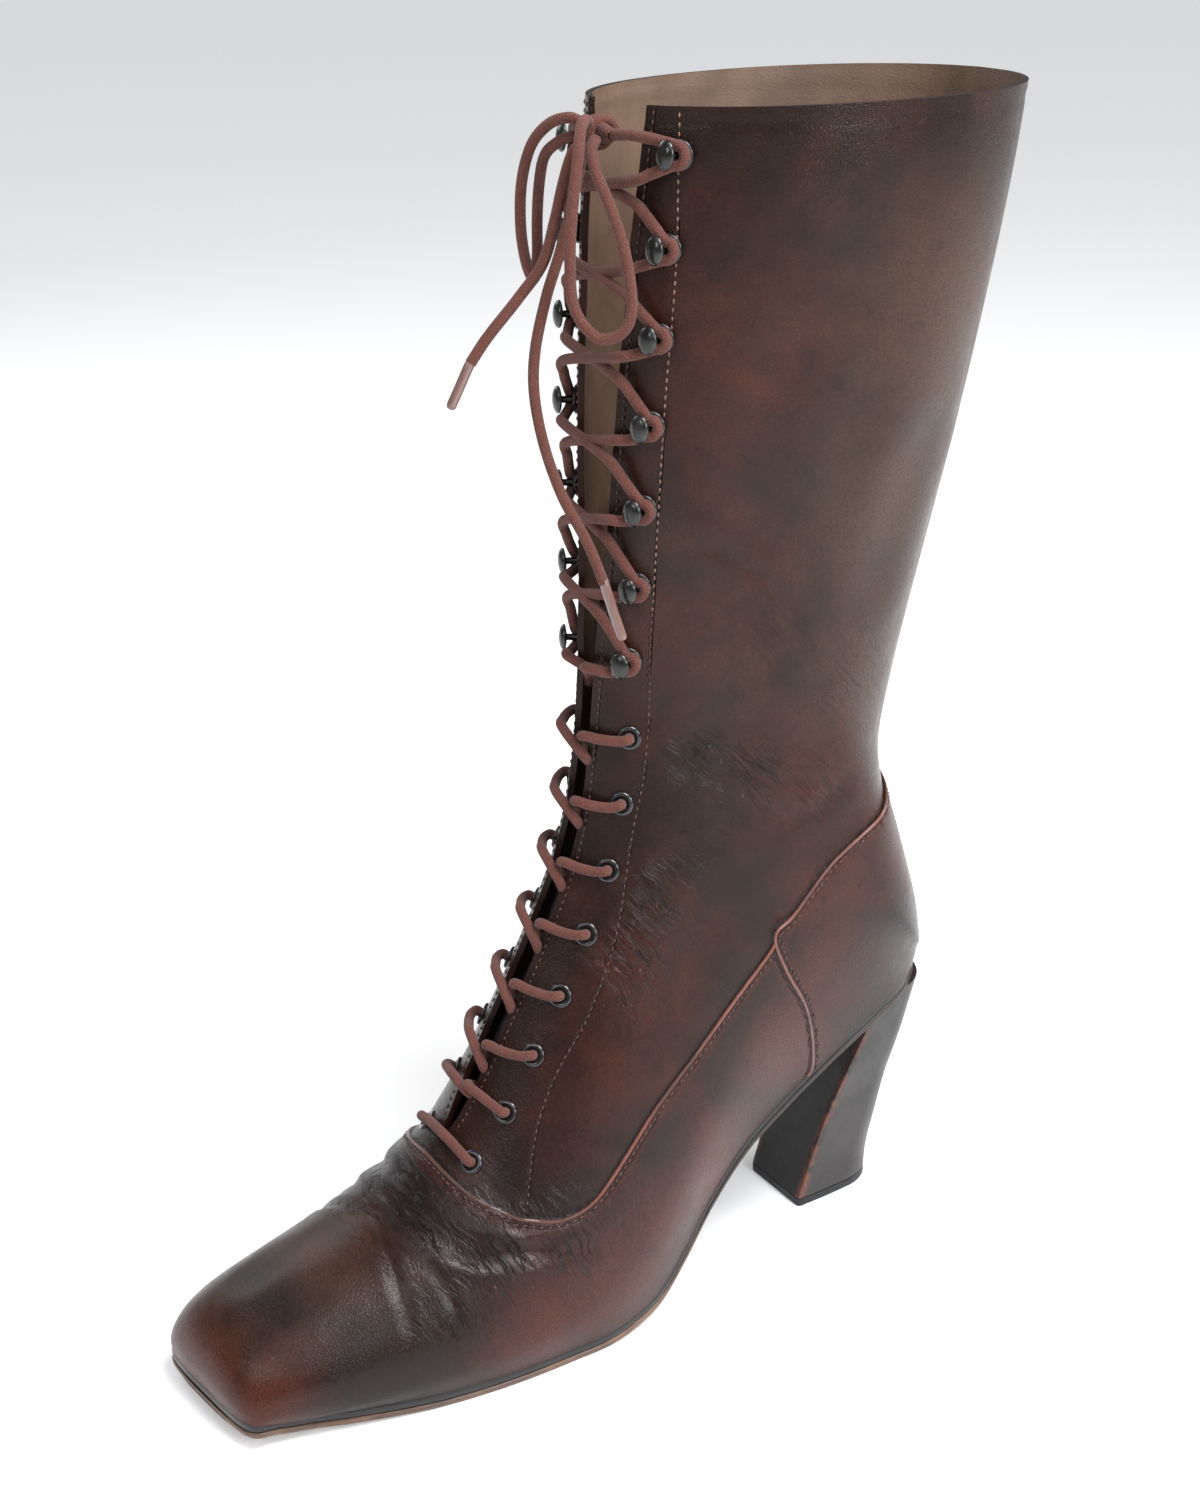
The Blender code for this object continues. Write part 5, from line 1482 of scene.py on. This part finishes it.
class BOOT_OT_laces(bpy.types.Operator):
    """Runs the lace through the eyelets and round the hooks to its knot, bow and free ends"""
    bl_idname = "boot.laces"
    bl_label = "Laces"

    def execute(self, context):
        size = sizes()
        radius = size.lace_width / 2
        bm = bmesh.new()
        lowest = EYELET_ROWS[0]
        bar = from_eyelet(lowest, 1)
        for side, inset in ((1, 0.010), (1, 0.005), (1, 0.0), (-1, 0.005), (-1, 0.010)):
            bar.append(over(lowest, side, inset, ARCHED))
        bar += from_eyelet(lowest, -1)[::-1]
        tube(bm, through(bar, LACE_STEP), radius)
        for k in range(1, EYELETS):
            at, lower = EYELET_ROWS[k], EYELET_ROWS[k - 1]
            if k == 1:
                lower = at + (lower - at) * THROAT_FALL
            tube(bm, through(strand(at, lower, 1, 0, 0.06), LACE_STEP), radius)
            tube(bm, through(strand(at, lower, -1, SECOND_LANE, 0.04), LACE_STEP), radius)
        names = ["lace_bar"] + [f"lace_crossing_{k}" for k in range(1, EYELETS)]
        lace_piece("lace_strands", bm, "lace", names)
        knot = knot_centre()
        bm = bmesh.new()
        tube(bm, through(hook_strand(1, 0, knot), LACE_STEP), radius)
        tube(bm, through(hook_strand(-1, SECOND_HOOK_LANE, knot), LACE_STEP), radius)
        lace_piece("lace_round_hooks", bm, "lace", ("lace_hooks",))
        bm = bmesh.new()
        wrap = []
        for k in range(30):
            a = math.tau * (0.1 + 1.5 * k / 29)
            y = 0.0017 * (2 * k / 29 - 1)
            wrap.append(knot + np.array((0.0033 * math.cos(a), y, 0.0031 * math.sin(a))))
        tube(bm, wrap, radius)
        for rise, swing in ((0.0013, 1), (-0.0013, -1)):
            core = [knot + np.array((0.0006 * swing, y, rise * math.cos(y * 260)))
                    for y in np.linspace(-KNOT_HALF + 0.0005, KNOT_HALF - 0.0005, 20)]
            tube(bm, core, radius * 1.1)
        lace_piece("lace_bow_knot", bm, "lace", ("lace_knot",))
        for name, points in (("aglet_long", AGLET_LONG), ("aglet_short", AGLET_SHORT)):
            bm = tube(bmesh.new(), through(np.array(points) / 1000, AGLET_STEP), size.aglet_width / 2)
            lace_piece(name + "_film", bm, "aglet", (name,))
        for name, points, tip in (("lace_end_long", LACE_END_LONG, "aglet_long"),
                                  ("lace_end_short", LACE_END_SHORT, "aglet_short"),
                                  ("lace_loop_outer", BOW_LOOP_LONG, None),
                                  ("lace_loop_inner", BOW_LOOP_SHORT, None)):
            fine = through(np.array(points) / 1000, LACE_STEP)
            bm = tube(bmesh.new(), fine, radius)
            piece = lace_piece(name + "_cord", bm, "lace", (name,))
        return {"FINISHED"}


def facing(way, axis):
    """The turn that points a lamp's own axis along a way."""
    return way.to_track_quat(axis, "Y").to_euler()


def camera_frame(roll):
    """The camera's axes, rolled, and how far the boot reaches across them, as slopes."""
    back = (Vector(CAMERA_FROM) - Vector(CAMERA_AT)).normalized()
    right = Vector((0, 0, 1)).cross(back).normalized()
    up = back.cross(right)
    c, s = math.cos(roll), math.sin(roll)
    right, up = c * right + s * up, c * up - s * right
    corners = []
    for name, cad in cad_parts.items():
        if name in ("upper", "outsole", "top_lift", "lace_loop_inner", "lace_end_short"):
            corners += [v.co - Vector(CAMERA_FROM) for v in cad.data.vertices]
    across = [(p.dot(right) / -p.dot(back), p.dot(up) / -p.dot(back)) for p in corners]
    lows = [min(p[k] for p in across) for k in (0, 1)]
    highs = [max(p[k] for p in across) for k in (0, 1)]
    middle = [(a + b) / 2 for a, b in zip(lows, highs)]
    return right, up, back, middle, lows, highs


class BOOT_OT_studio(bpy.types.Operator):
    """Places the camera, the floor and the soft lights"""
    bl_idname = "boot.studio"
    bl_label = "Studio"

    def execute(self, context):
        roll = math.radians(CAMERA_ROLL)
        right, up, back, middle, lows, highs = camera_frame(roll)
        tall = max((highs[1] - lows[1]), (highs[0] - lows[0]) * PHOTO_FRAME[1] / PHOTO_FRAME[0])
        aim = (-back + right * middle[0] + up * middle[1]).normalized()
        right = (right - aim * right.dot(aim)).normalized()
        up = right.cross(aim)
        data = bpy.data.cameras.new("studio_camera")
        data.sensor_fit = "VERTICAL"
        data.sensor_height = 36
        data.lens = 36 / (tall * (1 + 2 * FRAME_MARGIN))
        data.clip_start = 0.01
        data.clip_end = 100
        camera = bpy.data.objects.new("studio_camera", data)
        turn = Matrix((right, up, -aim)).transposed().to_4x4()
        turn.translation = Vector(CAMERA_FROM)
        camera.matrix_world = turn
        context.scene.collection.objects.link(camera)
        context.scene.camera = camera
        bm = bmesh.new()
        bmesh.ops.create_circle(bm, cap_ends=True, segments=64, radius=FLOOR_RADIUS)
        mesh = bpy.data.meshes.new("studio_floor")
        bm.to_mesh(mesh)
        bm.free()
        floor = bpy.data.objects.new("studio_floor", mesh)
        context.scene.collection.objects.link(floor)
        pale, tree, shader, where = surface("pale_floor", roughness=0.6, specular=0.2)
        shader.inputs["Emission Color"].default_value = (1, 1, 1, 1)
        shader.inputs["Emission Strength"].default_value = FLOOR_GLOW
        cloud = noise(tree, where, 2, 2)
        tint = colour("floor")
        finish_shader(tree, shader, mix(tree, cloud, tint, tuple(c * 0.985 for c in tint[:3]) + (1,)))
        mesh.materials.append(pale)
        daylight = bpy.data.lights.new("daylight", "SUN")
        daylight.energy = DAYLIGHT
        daylight.angle = math.radians(DAYLIGHT_SPREAD)
        sun = bpy.data.objects.new("daylight", daylight)
        sun.rotation_euler = facing(Vector(DAYLIGHT_FROM), "Z")
        context.scene.collection.objects.link(sun)
        for name, place, width, power, tint in LAMPS:
            light = bpy.data.lights.new(name, "AREA")
            light.shape = "DISK"
            light.size = width
            light.energy = power
            light.color = tint
            lamp = bpy.data.objects.new(name, light)
            lamp.location = place
            lamp.rotation_euler = facing(Vector(LAMPS_AIM) - Vector(place), "-Z")
            context.scene.collection.objects.link(lamp)
        world = bpy.data.worlds.new("studio_world")
        world.use_nodes = True
        sky = world.node_tree.nodes["Background"]
        sky.inputs["Color"].default_value = (0.94, 0.96, 1, 1)
        sky.inputs["Strength"].default_value = SKY_LIGHT
        context.scene.world = world
        context.scene.view_settings.view_transform = "Standard"
        context.scene.view_settings.look = "None"
        return {"FINISHED"}


class BOOT_PT_panel(bpy.types.Panel):
    """Lists the boot's pieces, sizes and colours"""
    bl_idname = "BOOT_PT_panel"
    bl_label = "Lace-up boot"
    bl_space_type = "VIEW_3D"
    bl_region_type = "UI"
    bl_category = "Boot"

    def draw(self, context):
        for group in (context.scene.boot_sizes, context.scene.boot_colours):
            for key in group.__annotations__:
                self.layout.prop(group, key)
        for step in STEPS:
            self.layout.operator(step.bl_idname)


STEPS = (BOOT_OT_studio, BOOT_OT_laces, BOOT_OT_upper, BOOT_OT_seams, BOOT_OT_tongue, BOOT_OT_sole,
         BOOT_OT_heel, BOOT_OT_eyelets, BOOT_OT_hooks)
CLASSES = (BootSizes, BootColours) + STEPS + (BOOT_PT_panel,)


def register():
    """Makes the sizes, the colours, the steps and the panel known to Blender."""
    for each in CLASSES:
        bpy.utils.register_class(each)
    bpy.types.Scene.boot_sizes = PointerProperty(type=BootSizes)
    bpy.types.Scene.boot_colours = PointerProperty(type=BootColours)


def unregister():
    """Takes them out again."""
    del bpy.types.Scene.boot_colours
    del bpy.types.Scene.boot_sizes
    for each in reversed(CLASSES):
        bpy.utils.unregister_class(each)


def main():
    """Builds every piece."""
    register()
    for name in ("studio", "laces", "upper", "seams", "tongue", "sole", "heel", "eyelets", "hooks"):
        getattr(bpy.ops.boot, name)()


if __name__ == "__main__":
    main()
